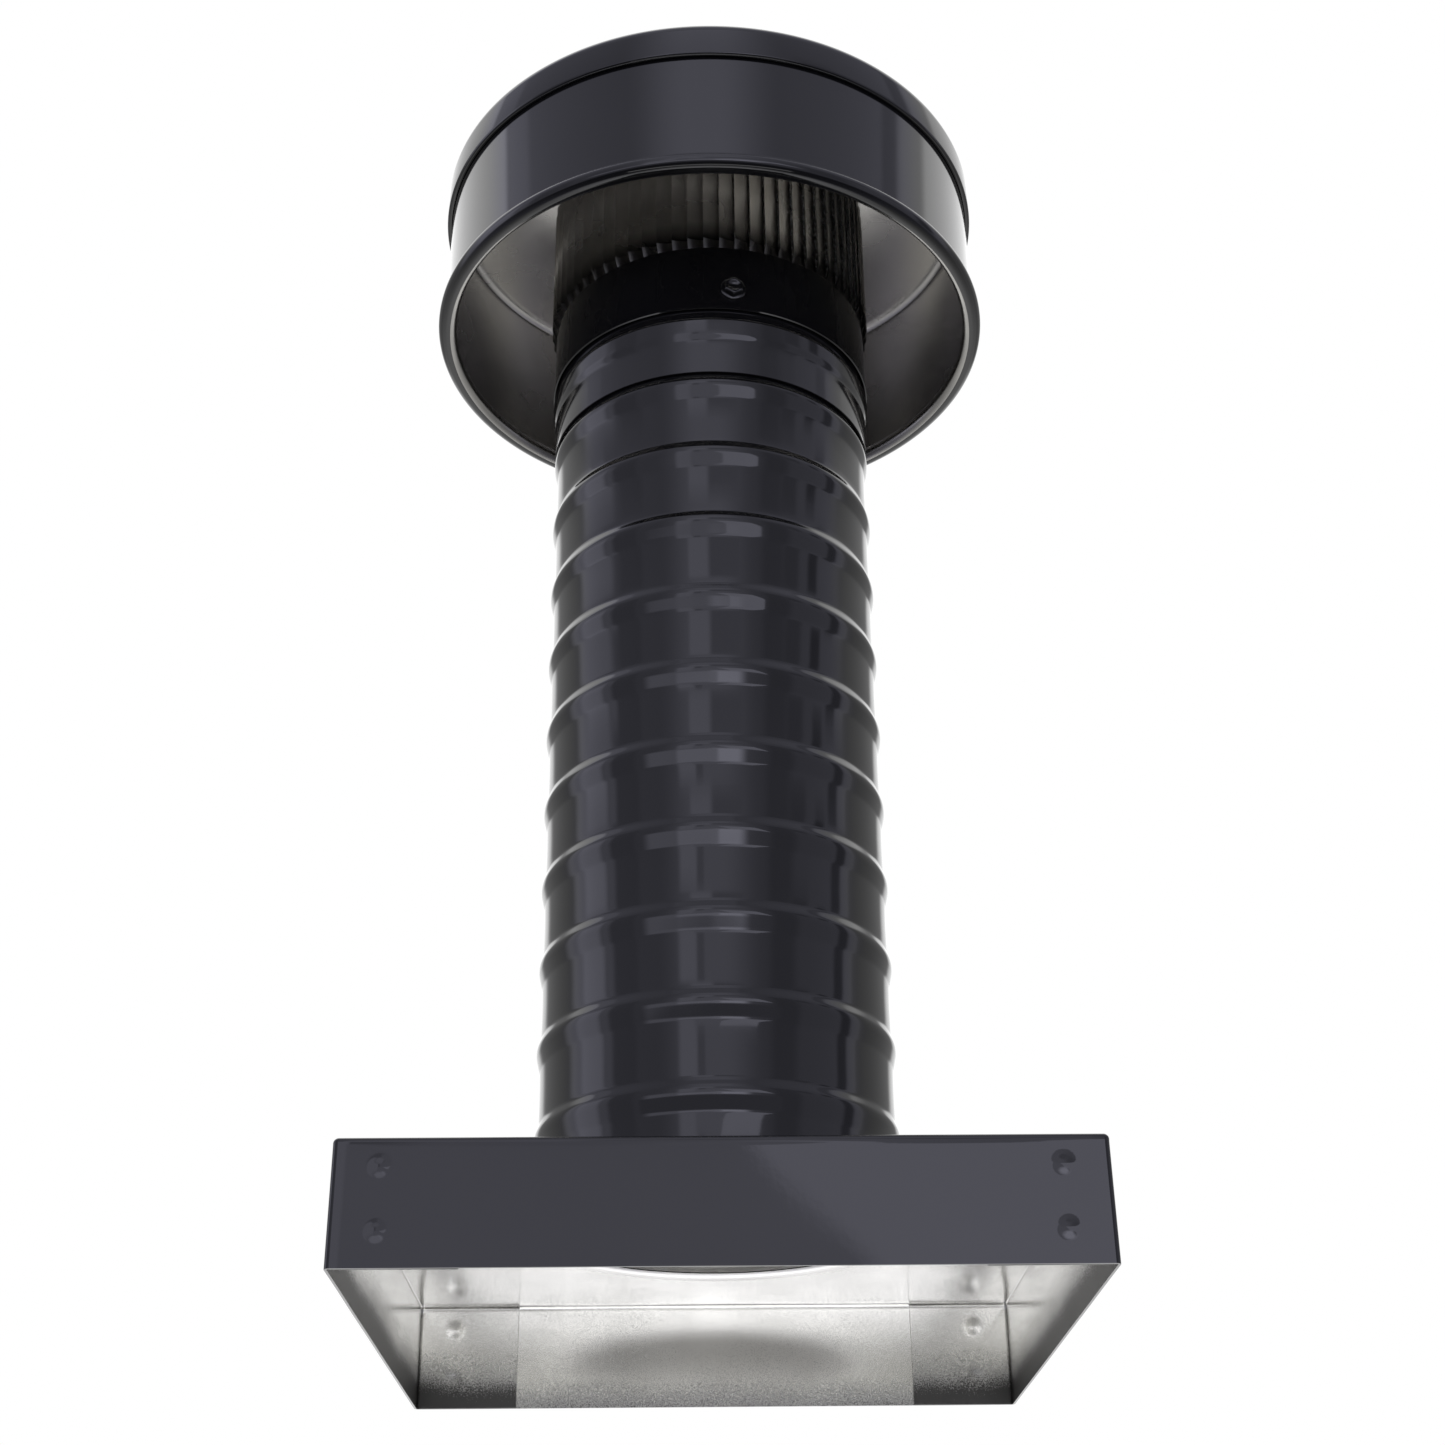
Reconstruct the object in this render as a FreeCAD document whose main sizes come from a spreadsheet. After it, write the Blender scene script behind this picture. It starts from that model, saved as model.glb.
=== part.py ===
"""A solar attic fan with a beaded duct, a louvred head under a drum hood and a curb base.

Millimetres, +Z up. The duct's axis is the Z axis, the base's front wall faces -Y and the
lower edge of the base's skirt is at z = 0. Every sub-part is one object, named by its Label.
"""
import FreeCAD, Part
import os
import re
import Sketcher

# ---------------------------------------------------------------- driving dimensions
SIZES = {
    # curb base
    "base_width": 279.4,
    "skirt_height": 47.0,
    "base_sheet": 1.0,
    "base_bend": 2.0,
    "tab_width": 47.0,
    "clinch_inset": 17.5,
    "clinch_drop": 11.5,
    "clinch_spacing": 23.0,
    "clinch_radius": 4.5,
    "clinch_rise": 0.8,
    # duct tube and its beads
    "tube_radius": 76.2,
    "sheet": 0.8,
    "tube_top": 446.0,
    "bead_pitch": 38.1,
    "bead_count": 10,
    "bead_width": 13.0,
    "bead_rise": 1.6,
    "first_bead": 83.9,
    "foot_height": 6.5,
    "turned_rim": 6.0,
    "slip_gap": 0.4,
    # neck sleeve between the tube and the louvre ring
    "sleeve_radius": 77.8,
    "sleeve_bottom": 432.0,
    "sleeve_top": 498.0,
    "sleeve_bead": 457.5,
    # louvre ring
    "ring_radius": 79.0,
    "collar_bottom": 468.0,
    "hem_height": 1.6,
    "hem_rise": 0.6,
    "louver_bottom": 505.0,
    "louver_top": 590.0,
    "louver_count": 66,
    "louver_lift": 2.3,
    "louver_sweep": 5.0,
    "flange_radius": 70.5,
    "screw_height": 480.0,
    "screw_radius": 2.1,
    "screw_length": 5.0,
    "hex_radius": 5.0,
    "hex_height": 3.6,
    "washer_radius": 6.2,
    "washer_height": 0.9,
    # insect screen
    "screen_radius": 76.6,
    "screen_sheet": 0.6,
    "screen_bottom": 488.0,
    "screen_slots": 36,
    "slot_width": 9.0,
    # hood
    "band_radius": 135.6,
    "rim_radius": 134.8,
    "rim_height": 507.7,
    "rim_bead": 4.6,
    "band_top": 591.5,
    "lid_radius": 138.0,
    "lid_top": 595.5,
    "lid_seam": 573.0,
    "lid_shoulder": 8.0,
    # how far cutters and shanks run past the faces they go through
    "cutter_reach": 10.0,
    "overrun": 1.0,
    # fasteners in the lid
    "hole_gap": 0.1,
    "rivet_circle": 73.3,
    "rivet_radius": 1.6,
    "rivet_head": 3.0,
    "rivet_head_height": 1.1,
    "bolt_radius": 2.0,
    "bolt_head": 3.6,
    "bolt_head_height": 2.4,
    "nut_radius": 4.0,
    "nut_height": 3.0,
    # motor bracket
    "bracket_sheet": 1.5,
    "bracket_width": 30.0,
    "bracket_leg": 34.0,
    "bracket_foot": 55.0,
    "bracket_web": 514.0,
    "bracket_bolt_x": 45.0,
    "bracket_bolt_y": 8.0,
    "web_hole": 7.0,
    # motor
    "can_radius": 23.0,
    "can_length": 42.0,
    "can_sheet": 1.2,
    "cap_height": 5.0,
    "cap_edge": 2.0,
    "lead_boss": 2.0,
    "bearing_radius": 5.0,
    "bearing_height": 4.0,
    "shaft_radius": 2.5,
    "running_gap": 0.04,
    "shaft_bottom": 480.0,
    "magnet_inner": 17.0,
    "magnet_length": 30.0,
    "magnet_gap": 6.0,
    "armature_radius": 16.0,
    "armature_length": 24.0,
    "armature_gap": 9.0,
    "commutator_radius": 6.0,
    "commutator_length": 6.0,
    "brush_gap": 0.05,
    "brush_length": 7.0,
    "brush_width": 4.0,
    "motor_screw_x": 11.0,
    "motor_screw_radius": 1.5,
    "motor_screw_head": 2.8,
    "motor_screw_head_height": 2.0,
    # rotor
    "hub_radius": 8.0,
    "hub_bottom": 482.0,
    "hub_top": 500.0,
    "hub_flange": 17.5,
    "prop_plane": 492.0,
    "prop_sheet": 1.2,
    "prop_disc": 23.0,
    "prop_radius": 70.0,
    "blade_count": 5,
    "root_radius": 18.0,
    "root_chord": 17.0,
    "tip_chord": 46.0,
    "root_pitch": 38.0,
    "tip_pitch": 24.0,
    "hub_rivet_circle": 12.8,
    "hub_rivet_head": 2.7,
    "set_screw_drop": 3.0,
    # solar panel
    "panel_width": 165.0,
    "panel_top": 613.0,
    "frame_height": 10.0,
    "frame_wall": 2.0,
    "frame_lip": 8.0,
    "glass": 3.2,
    "cell": 0.4,
    "backsheet": 0.6,
    "glass_recess": 0.4,
    "laminate_gap": 0.3,
    "cell_width": 36.0,
    "cell_pitch": 38.0,
    "rail_width": 14.0,
    "rail_height": 2.0,
    "rail_offset": 46.0,
    "rail_screw_x": 76.0,
    "spacer_radius": 6.0,
    # lead
    "lead_radius": 2.0,
    "lead_offset": 12.0,
    "box_length": 50.0,
    "box_width": 38.0,
    "box_height": 8.0,
    "grommet_radius": 5.0,
    "grommet_flange": 7.5,
    "grommet_lip": 1.5,
}
CELL_ROWS = 4
COLLAR_SCREWS = 3
LID_RIVETS = 6
FIRST_COLLAR_SCREW = -82.5
FIRST_LID_RIVET = 30.0
FIRST_HUB_RIVET = 36.0
MAGNET_SPAN = 140.0
FIRST_MAGNET = 20.0

doc = FreeCAD.newDocument("SolarAtticFan")
sheet = doc.addObject("Spreadsheet::Sheet", "Sizes")
for row, (alias, value) in enumerate(SIZES.items(), start=1):
    sheet.set(f"A{row}", alias)
    sheet.set(f"B{row}", str(value))
    sheet.setAlias(f"B{row}", alias)
doc.recompute()

X_AXIS = FreeCAD.Vector(1, 0, 0)
Y_AXIS = FreeCAD.Vector(0, 1, 0)
Z_AXIS = FreeCAD.Vector(0, 0, 1)
FULL_TURN = 360.0
SAME_PLACE = 0.01
nodes = []


# ---------------------------------------------------------------- helpers
def formula(text):
    """Point the size names of a formula at their spreadsheet cells."""
    return re.sub(r"[a-z_]+", lambda word: "Sizes." + word[0] if word[0] in SIZES else word[0], text)


def bind(thing, **formulas):
    """Bind properties of an object to formulas over the spreadsheet."""
    for name, text in formulas.items():
        thing.setExpression(name, formula(text))


def locate(thing, x="0", y="0", z="0"):
    """Bind an object's place to formulas."""
    for axis, text in (("x", x), ("y", y), ("z", z)):
        thing.setExpression("Placement.Base." + axis, formula(text))
    return thing


def keep(label, thing):
    """Name a finished sub-part and list it for export."""
    thing.Label = label
    nodes.append(thing)
    return thing


def cylinder(radius, height, x="0", y="0", z="0", axis=Z_AXIS):
    """A solid cylinder that starts at a point and runs along an axis."""
    rod = doc.addObject("Part::Cylinder", "Rod")
    bind(rod, Radius=radius, Height=height)
    rod.Placement.Rotation = FreeCAD.Rotation(Z_AXIS, axis)
    return locate(rod, x, y, z)


def cone(radius_start, radius_end, height, x, y, z, axis):
    """A solid cone frustum that starts at a point and runs along an axis."""
    plug = doc.addObject("Part::Cone", "Plug")
    bind(plug, Radius1=radius_start, Radius2=radius_end, Height=height)
    plug.Placement.Rotation = FreeCAD.Rotation(Z_AXIS, axis)
    return locate(plug, x, y, z)


def hexagon(radius, height, x="0", y="0", z="0", axis=Z_AXIS):
    """A solid hexagonal prism that starts at a point and runs along an axis."""
    nut = doc.addObject("Part::Prism", "Hexagon")
    nut.Polygon = 6
    bind(nut, Circumradius=radius, Height=height)
    nut.Placement.Rotation = FreeCAD.Rotation(Z_AXIS, axis)
    return locate(nut, x, y, z)


def block(length, width, height, x="0", y="0", z="0"):
    """A solid box centred on x and y, with its lower face at z."""
    brick = doc.addObject("Part::Box", "Block")
    bind(brick, Length=length, Width=width, Height=height)
    return locate(brick, f"({x}) - ({length}) / 2", f"({y}) - ({width}) / 2", z)


def fuse(*pieces):
    """One solid from pieces that touch or overlap."""
    union = doc.addObject("Part::MultiFuse", "Union")
    union.Shapes = list(pieces)
    return union


def group(pieces):
    """Separate solids that share one node."""
    compound = doc.addObject("Part::Compound", "Group")
    compound.Links = list(pieces)
    return compound


def cut(base, *tools):
    """The base with every tool taken out of it."""
    result = doc.addObject("Part::Cut", "Cut")
    result.Base = base
    result.Tool = tools[0] if len(tools) == 1 else group(tools)
    return result


def around(make_piece, count, first_angle=0.0):
    """Equal pieces set out evenly round the Z axis, from a maker of the one on the X axis."""
    pieces = []
    for index in range(count):
        piece = make_piece()
        angle = first_angle + index * FULL_TURN / count
        piece.Placement = FreeCAD.Placement(FreeCAD.Vector(), FreeCAD.Rotation(Z_AXIS, angle))
        pieces.append(piece)
    return pieces


def origin_item(body, role):
    """One of a body's own origin planes or axes."""
    return next(item for item in body.Origin.OriginFeatures if item.Role == role)


def new_sketch(body, role, offset="0", across="0", along="0"):
    """A sketch on an origin plane, moved along the plane's normal, or across and along the plane."""
    sketch = body.newObject("Sketcher::SketchObject", body.Name + "Sketch")
    sketch.AttachmentSupport = [(origin_item(body, role), "")]
    sketch.MapMode = "FlatFace"
    for axis, text in (("x", across), ("y", along), ("z", offset)):
        sketch.setExpression("AttachmentOffset.Base." + axis, formula(text))
    return sketch


def pin_point(sketch, curve, end, x, y):
    """Hold one end of a sketch curve at bound distances from the origin."""
    start = sketch.getPoint(curve, end)
    for kind, axis, text, value in (("DistanceX", -2, x, start.x), ("DistanceY", -1, y, start.y)):
        if text == "0":
            sketch.addConstraint(Sketcher.Constraint("PointOnObject", curve, end, axis))
            continue
        index = sketch.addConstraint(Sketcher.Constraint(kind, -1, 1, curve, end, value))
        sketch.setExpression(f"Constraints[{index}]", formula(text))


def outline(sketch, corners):
    """A closed outline of straight edges through corners given as pairs of formulas."""
    first = sketch.GeometryCount
    count = len(corners)
    ring = Part.makeCircle(10.0, FreeCAD.Vector(100, 100, 0)).discretize(count + 1)
    lines = [Part.LineSegment(ring[index], ring[index + 1]) for index in range(count)]
    sketch.addGeometry(lines)
    for index in range(count):
        before = first + (index - 1) % count
        sketch.addConstraint(Sketcher.Constraint("Coincident", before, 2, first + index, 1))
    for index, (x, y) in enumerate(corners):
        pin_point(sketch, first + index, 1, x, y)


def circle(sketch, radius, x="0", y="0"):
    """A circle with a bound radius and centre."""
    index = sketch.addGeometry(Part.Circle(FreeCAD.Vector(1, 1, 0), Z_AXIS, 1.0))
    if x == y == "0":
        sketch.addConstraint(Sketcher.Constraint("Coincident", index, 3, -1, 1))
    else:
        pin_point(sketch, index, 3, x, y)
    limit = sketch.addConstraint(Sketcher.Constraint("Radius", index, 1.0))
    sketch.setExpression(f"Constraints[{limit}]", formula(radius))


def turn(body, sketch, kind="PartDesign::Revolution", angle=FULL_TURN):
    """Turn a sketch about the Z axis, to add material or to groove it away."""
    feature = body.newObject(kind, body.Name + "Turn")
    feature.Profile = sketch
    feature.ReferenceAxis = (origin_item(body, "Z_Axis"), [""])
    feature.Angle = angle
    return feature


def turned(name, corners, angle=FULL_TURN):
    """A body turned about the Z axis from an outline of radius and height formulas."""
    body = doc.addObject("PartDesign::Body", name)
    sketch = new_sketch(body, "XZ_Plane")
    outline(sketch, corners)
    turn(body, sketch, angle=angle)
    return body


def pad(body, sketch, length, midplane=False):
    """Pad a sketch by a bound length."""
    feature = body.newObject("PartDesign::Pad", body.Name + "Pad")
    feature.Profile = sketch
    feature.Midplane = midplane
    bind(feature, Length=length)
    return feature


def pocket_down(body, sketch, depth):
    """Cut a sketch down from its plane by a bound depth."""
    feature = body.newObject("PartDesign::Pocket", body.Name + "Pocket")
    feature.Profile = sketch
    bind(feature, Length=depth)
    return feature


def square(sketch, width, x="0", y="0"):
    """A square outline centred on x and y."""
    half = f"({width}) / 2"
    outline(sketch, [(f"({x}) - {half}", f"({y}) - {half}"), (f"({x}) + {half}", f"({y}) - {half}"),
                     (f"({x}) + {half}", f"({y}) + {half}"), (f"({x}) - {half}", f"({y}) + {half}")])


def bead_sketch(body, radius, middle):
    """The segment between a vertical chord at a radius and the bead's arc, bulging outwards."""
    half = SIZES["bead_width"] / 2
    rise = SIZES["bead_rise"]
    sketch = new_sketch(body, "XZ_Plane", across=radius, along=middle)
    low, crest, high = [FreeCAD.Vector(x, y, 0) for x, y in ((0, -half), (rise, 0), (0, half))]
    sketch.addGeometry([Part.Arc(low, crest, high), Part.LineSegment(high, low)])
    sketch.addConstraint(Sketcher.Constraint("Coincident", 0, 2, 1, 1))
    sketch.addConstraint(Sketcher.Constraint("Coincident", 0, 1, 1, 2))
    pin_point(sketch, 1, 1, "0", "bead_width / 2")
    pin_point(sketch, 1, 2, "0", "-bead_width / 2")
    limit = sketch.addConstraint(Sketcher.Constraint("Radius", 0, sketch.Geometry[0].Radius))
    arc_radius = "(bead_width ^ 2 / 4 + bead_rise ^ 2) / (2 * bead_rise)"
    sketch.setExpression(f"Constraints[{limit}]", formula(arc_radius))
    return sketch


def roll_bead(body, radius, middle):
    """Roll one hollow bead into a tube wall of a given outer radius."""
    swell = turn(body, bead_sketch(body, radius, middle))
    relief = turn(body, bead_sketch(body, f"{radius} - sheet", middle), "PartDesign::Groove")
    return [swell, relief]


# ---------------------------------------------------------------- curb base
def curb_base():
    """A square box of bent sheet, open below, with lapped corner tabs and clinch dimples."""
    body = doc.addObject("PartDesign::Body", "BaseShell")
    outer = new_sketch(body, "XY_Plane")
    square(outer, "base_width")
    block_feature = pad(body, outer, "skirt_height")
    doc.recompute()
    top_edges = [f"Edge{index}" for index, edge in enumerate(block_feature.Shape.Edges, start=1)
                 if edge.BoundBox.ZMin > SIZES["skirt_height"] - SAME_PLACE]
    bends = body.newObject("PartDesign::Fillet", "Bends")
    bends.Base = (block_feature, top_edges)
    bind(bends, Radius="base_bend")
    inner = new_sketch(body, "XY_Plane", "skirt_height - base_sheet")
    square(inner, "base_width - 2 * base_sheet")
    pocket_down(body, inner, "skirt_height")
    hole = new_sketch(body, "XY_Plane", "skirt_height")
    circle(hole, "tube_radius + slip_gap / 2")
    pocket_down(body, hole, "3 * base_sheet")
    pieces = [body]
    for side in ("", "-"):
        for end in ("", "-"):
            pieces.append(block("tab_width", "base_sheet", "skirt_height - base_bend",
                                f"{side}(base_width / 2 - base_sheet - tab_width / 2)",
                                f"{end}(base_width / 2 - 1.5 * base_sheet)"))
            for drop in ("clinch_drop", "clinch_drop + clinch_spacing"):
                pieces.append(cone("clinch_radius", "clinch_radius / 2", "clinch_rise",
                                   f"{side}(base_width / 2 - clinch_inset)", f"{end}base_width / 2",
                                   f"skirt_height - ({drop})", -Y_AXIS if end else Y_AXIS))
    keep("curb_base", fuse(*pieces))


# ---------------------------------------------------------------- duct and neck
def duct_tube():
    """The beaded tube, with a foot bead above the base plate and a rim turned out below it.

    The topmost bead is the stop that the neck sleeve comes down to.
    """
    inner = "tube_radius - sheet"
    plate_bottom = "skirt_height - base_sheet"
    body = turned("DuctTube", [
        (inner, "tube_top"),
        ("tube_radius", "tube_top"),
        ("tube_radius", "skirt_height + foot_height"),
        ("tube_radius + bead_rise", "skirt_height + foot_height / 3"),
        ("tube_radius + bead_rise", "skirt_height"),
        ("tube_radius", "skirt_height"),
        ("tube_radius", plate_bottom),
        ("tube_radius + turned_rim", plate_bottom),
        ("tube_radius + turned_rim", f"{plate_bottom} - sheet"),
        (inner, f"{plate_bottom} - sheet"),
    ])
    bead = roll_bead(body, "tube_radius", "first_bead")
    pattern = body.newObject("PartDesign::LinearPattern", "Beads")
    pattern.Originals = bead
    pattern.Direction = (origin_item(body, "Z_Axis"), [""])
    bind(pattern, Length="bead_pitch * (bead_count - 1)", Occurrences="bead_count")
    body.Tip = pattern
    keep("duct_tube", body)


def screw_holes():
    """Round cutters where the collar screws pass through the ring and the sleeve."""
    def hole():
        return group([cylinder("screw_radius + hole_gap", "2 * cutter_reach", "ring_radius - cutter_reach",
                               z="screw_height", axis=X_AXIS)])
    return around(hole, COLLAR_SCREWS, FIRST_COLLAR_SCREW)


def neck_sleeve():
    """The plain sleeve that slips over the tube and into the louvre ring."""
    inner = "sleeve_radius - sheet"
    body = turned("NeckSleeve", [(inner, "sleeve_bottom"), ("sleeve_radius", "sleeve_bottom"),
                                 ("sleeve_radius", "sleeve_top"), (inner, "sleeve_top")])
    roll_bead(body, "sleeve_radius", "sleeve_bead")
    keep("neck_sleeve", cut(body, *screw_holes()))


def louver_ring():
    """The collar with lanced louvres above it and an inward flange under the lid."""
    inner = "ring_radius - sheet"
    body = turned("LouverRing", [
        (inner, "collar_bottom"),
        ("ring_radius + hem_rise", "collar_bottom"),
        ("ring_radius + hem_rise", "collar_bottom + hem_height"),
        ("ring_radius", "collar_bottom + hem_height"),
        ("ring_radius", "louver_bottom"),
        (inner, "louver_bottom"),
    ])
    slat = new_sketch(body, "XY_Plane", "louver_bottom")
    lifted = f"({inner} + louver_lift)"
    far = "(ring_radius + louver_lift)"
    outline(slat, [(inner, "0"), ("ring_radius", "0"),
                   (f"{far} * cos(louver_sweep * 1 deg)", f"-{far} * sin(louver_sweep * 1 deg)"),
                   (f"{lifted} * cos(louver_sweep * 1 deg)", f"-{lifted} * sin(louver_sweep * 1 deg)")])
    louver = pad(body, slat, "louver_top - louver_bottom")
    pattern = body.newObject("PartDesign::PolarPattern", "Louvers")
    pattern.Originals = [louver]
    pattern.Axis = (slat, ["N_Axis"])
    pattern.Angle = FULL_TURN
    bind(pattern, Occurrences="louver_count")
    body.Tip = pattern
    top = new_sketch(body, "XZ_Plane")
    flange_top = "lid_top - sheet"
    outline(top, [(inner, "louver_top"), ("ring_radius", "louver_top"), ("ring_radius", flange_top),
                  ("flange_radius", flange_top), ("flange_radius", f"{flange_top} - sheet"),
                  (inner, f"{flange_top} - sheet")])
    turn(body, top)
    keep("louver_ring", cut(body, *screw_holes(), *rivet_holes()))


def collar_screws():
    """Hex washer-head sheet screws that join the ring to the sleeve."""
    def screw():
        return fuse(cylinder("washer_radius", "washer_height", "ring_radius", z="screw_height", axis=X_AXIS),
                    hexagon("hex_radius", "hex_height", "ring_radius", z="screw_height", axis=X_AXIS),
                    cylinder("screw_radius", "screw_length + overrun", "ring_radius - screw_length",
                             z="screw_height", axis=X_AXIS))
    keep("collar_screws", group(around(screw, COLLAR_SCREWS, FIRST_COLLAR_SCREW)))


def insect_screen():
    """The cage behind the louvres, from the sleeve's mouth to the ring's flange."""
    body = doc.addObject("PartDesign::Body", "InsectScreen")
    wall = new_sketch(body, "XY_Plane", "screen_bottom")
    circle(wall, "screen_radius")
    circle(wall, "screen_radius - screen_sheet")
    pad(body, wall, "lid_top - 2 * sheet - screen_bottom")
    slot = new_sketch(body, "YZ_Plane", "screen_radius + cutter_reach")
    outline(slot, [("-slot_width / 2", "louver_bottom"), ("slot_width / 2", "louver_bottom"),
                   ("slot_width / 2", "louver_top"), ("-slot_width / 2", "louver_top")])
    window = pocket_down(body, slot, "2 * cutter_reach")
    pattern = body.newObject("PartDesign::PolarPattern", "Windows")
    pattern.Originals = [window]
    pattern.Axis = (wall, ["N_Axis"])
    pattern.Angle = FULL_TURN
    bind(pattern, Occurrences="screen_slots")
    body.Tip = pattern
    keep("insect_screen", body)


# ---------------------------------------------------------------- hood
def wind_band():
    """The drum round the louvres, with a rolled bead at its lower rim."""
    inner = "band_radius - sheet"
    body = turned("WindBand", [(inner, "rim_height"), ("band_radius", "rim_height"),
                               ("band_radius", "band_top"), (inner, "band_top")])
    rim = new_sketch(body, "XZ_Plane")
    circle(rim, "rim_bead", "rim_radius", "rim_height")
    turn(body, rim)
    keep("wind_band", body)


def rivet_holes():
    """Cutters for the rivets that hold the louvre ring to the lid."""
    def hole():
        return group([cylinder("rivet_radius + hole_gap", "cutter_reach", "rivet_circle",
                               z="lid_top - cutter_reach / 2")])
    return around(hole, LID_RIVETS, FIRST_LID_RIVET)


def four_corners(x, y):
    """The four sign combinations of an offset pair."""
    return [(f"{side}{x}", f"{end}{y}") for side in ("", "-") for end in ("", "-")]


def bolt_holes(x, y):
    """Cutters for four upright bolts through the lid."""
    return [cylinder("bolt_radius + hole_gap", "3 * cutter_reach", east, north,
                     "lid_top - 1.5 * cutter_reach")
            for east, north in four_corners(x, y)]


def lid():
    """The flat lid with a round shoulder and a short skirt hemmed in towards the drum."""
    body = turned("Lid", [
        ("0", "lid_top"),
        ("lid_radius", "lid_top"),
        ("lid_radius", "lid_seam"),
        ("band_radius + slip_gap", "lid_seam"),
        ("band_radius + slip_gap", "lid_seam + sheet"),
        ("lid_radius - sheet", "lid_seam + sheet"),
        ("lid_radius - sheet", "lid_top - sheet"),
        ("0", "lid_top - sheet"),
    ])
    doc.recompute()
    shoulder_bend(body, 0.0, "lid_shoulder")
    shoulder_bend(body, SIZES["sheet"], "lid_shoulder - sheet")
    grommet_hole = cylinder("grommet_radius", "cutter_reach", y="lead_offset",
                            z="lid_top - cutter_reach / 2")
    holes = rivet_holes() + bolt_holes("bracket_bolt_x", "bracket_bolt_y")
    holes += bolt_holes("rail_offset", "rail_offset")
    keep("lid", cut(body, grommet_hole, *holes))


def shoulder_bend(body, depth, bend):
    """Round the lid's circular shoulder edge that lies a given depth inside the sheet."""
    base = body.Tip
    edges = []
    for index, edge in enumerate(base.Shape.Edges, start=1):
        box = edge.BoundBox
        flat = box.ZLength < SAME_PLACE and abs(box.ZMax - SIZES["lid_top"] + depth) < SAME_PLACE
        if flat and abs(box.XMax - SIZES["lid_radius"] + depth) < SAME_PLACE:
            edges.append(f"Edge{index}")
    fillet = body.newObject("PartDesign::Fillet", "Shoulder")
    fillet.Base = (base, edges)
    bind(fillet, Radius=bend)
    doc.recompute()


def lid_rivets():
    """Dome rivets through the lid and the ring's flange."""
    grip = "2 * sheet"

    def rivet():
        return fuse(cone("rivet_head", "rivet_head * 0.6", "rivet_head_height", "rivet_circle", "0",
                         "lid_top", Z_AXIS),
                    cylinder("rivet_radius", f"{grip} + 2 * overrun", "rivet_circle",
                             z=f"lid_top - {grip} - overrun"),
                    cylinder("rivet_radius * 1.5", "overrun", "rivet_circle",
                             z=f"lid_top - {grip} - overrun"))
    keep("lid_rivets", group(around(rivet, LID_RIVETS, FIRST_LID_RIVET)))


# ---------------------------------------------------------------- motor and its bracket
LID_UNDERSIDE = "lid_top - sheet"
MOTOR_FRONT = "bracket_web + bracket_sheet"
CAN_BACK = "bracket_web + bracket_sheet + can_length"
MOTOR_BACK = "bracket_web + bracket_sheet + can_length + cap_height"


def motor_bracket():
    """A strap bent into a hat: two feet under the lid, two legs and the web under the motor."""
    body = doc.addObject("PartDesign::Body", "MotorBracket")
    profile = new_sketch(body, "XZ_Plane")
    foot_bottom = f"{LID_UNDERSIDE} - bracket_sheet"
    inner_leg = "bracket_leg - bracket_sheet"
    outline(profile, [
        ("-bracket_leg", "bracket_web"), ("bracket_leg", "bracket_web"), ("bracket_leg", foot_bottom),
        ("bracket_foot", foot_bottom), ("bracket_foot", LID_UNDERSIDE),
        (inner_leg, LID_UNDERSIDE), (inner_leg, MOTOR_FRONT),
        (f"-({inner_leg})", MOTOR_FRONT), (f"-({inner_leg})", LID_UNDERSIDE),
        ("-bracket_foot", LID_UNDERSIDE), ("-bracket_foot", foot_bottom), ("-bracket_leg", foot_bottom),
    ])
    pad(body, profile, "bracket_width", midplane=True)
    shaft_hole = cylinder("web_hole", "cutter_reach", z="bracket_web - cutter_reach / 2")
    keep("motor_bracket", cut(body, shaft_hole, *motor_screw_holes(),
                              *bolt_holes("bracket_bolt_x", "bracket_bolt_y")))


def motor_screw_holes():
    """Cutters for the two screws between the web and the motor."""
    return [cylinder("motor_screw_radius + hole_gap", "cutter_reach", f"{side}motor_screw_x",
                     z="bracket_web - cutter_reach / 2")
            for side in ("", "-")]


def bracket_bolts():
    """Bolts through the lid and the bracket's feet, and the nuts under the feet."""
    bolts = []
    nuts = []
    nut_top = f"{LID_UNDERSIDE} - bracket_sheet"
    for x, y in four_corners("bracket_bolt_x", "bracket_bolt_y"):
        head = cylinder("bolt_head", "bolt_head_height", x, y, "lid_top")
        shank = cylinder("bolt_radius", "sheet + bracket_sheet + nut_height + 2 * overrun", x, y,
                         f"{nut_top} - nut_height - overrun")
        bolts.append(fuse(head, shank))
        ring = hexagon("nut_radius", "nut_height", x, y, f"{nut_top} - nut_height")
        bore = cylinder("bolt_radius + hole_gap / 2", "nut_height + 2 * overrun", x, y,
                        f"{nut_top} - nut_height - overrun")
        nuts.append(cut(ring, bore))
    keep("bracket_bolts", group(bolts))
    keep("bracket_nuts", group(nuts))


def motor_can():
    """The drawn steel can with the front bearing's seat in its floor."""
    inner = "can_radius - can_sheet"
    body = turned("MotorCan", [
        ("bearing_radius", MOTOR_FRONT), ("can_radius", MOTOR_FRONT), ("can_radius", CAN_BACK),
        (inner, CAN_BACK), (inner, f"{MOTOR_FRONT} + can_sheet"),
        ("bearing_radius + can_sheet", f"{MOTOR_FRONT} + can_sheet"),
        ("bearing_radius + can_sheet", f"{MOTOR_FRONT} + bearing_height"),
        ("bearing_radius", f"{MOTOR_FRONT} + bearing_height"),
    ])
    keep("motor_can", cut(body, *motor_screw_holes()))


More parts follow.
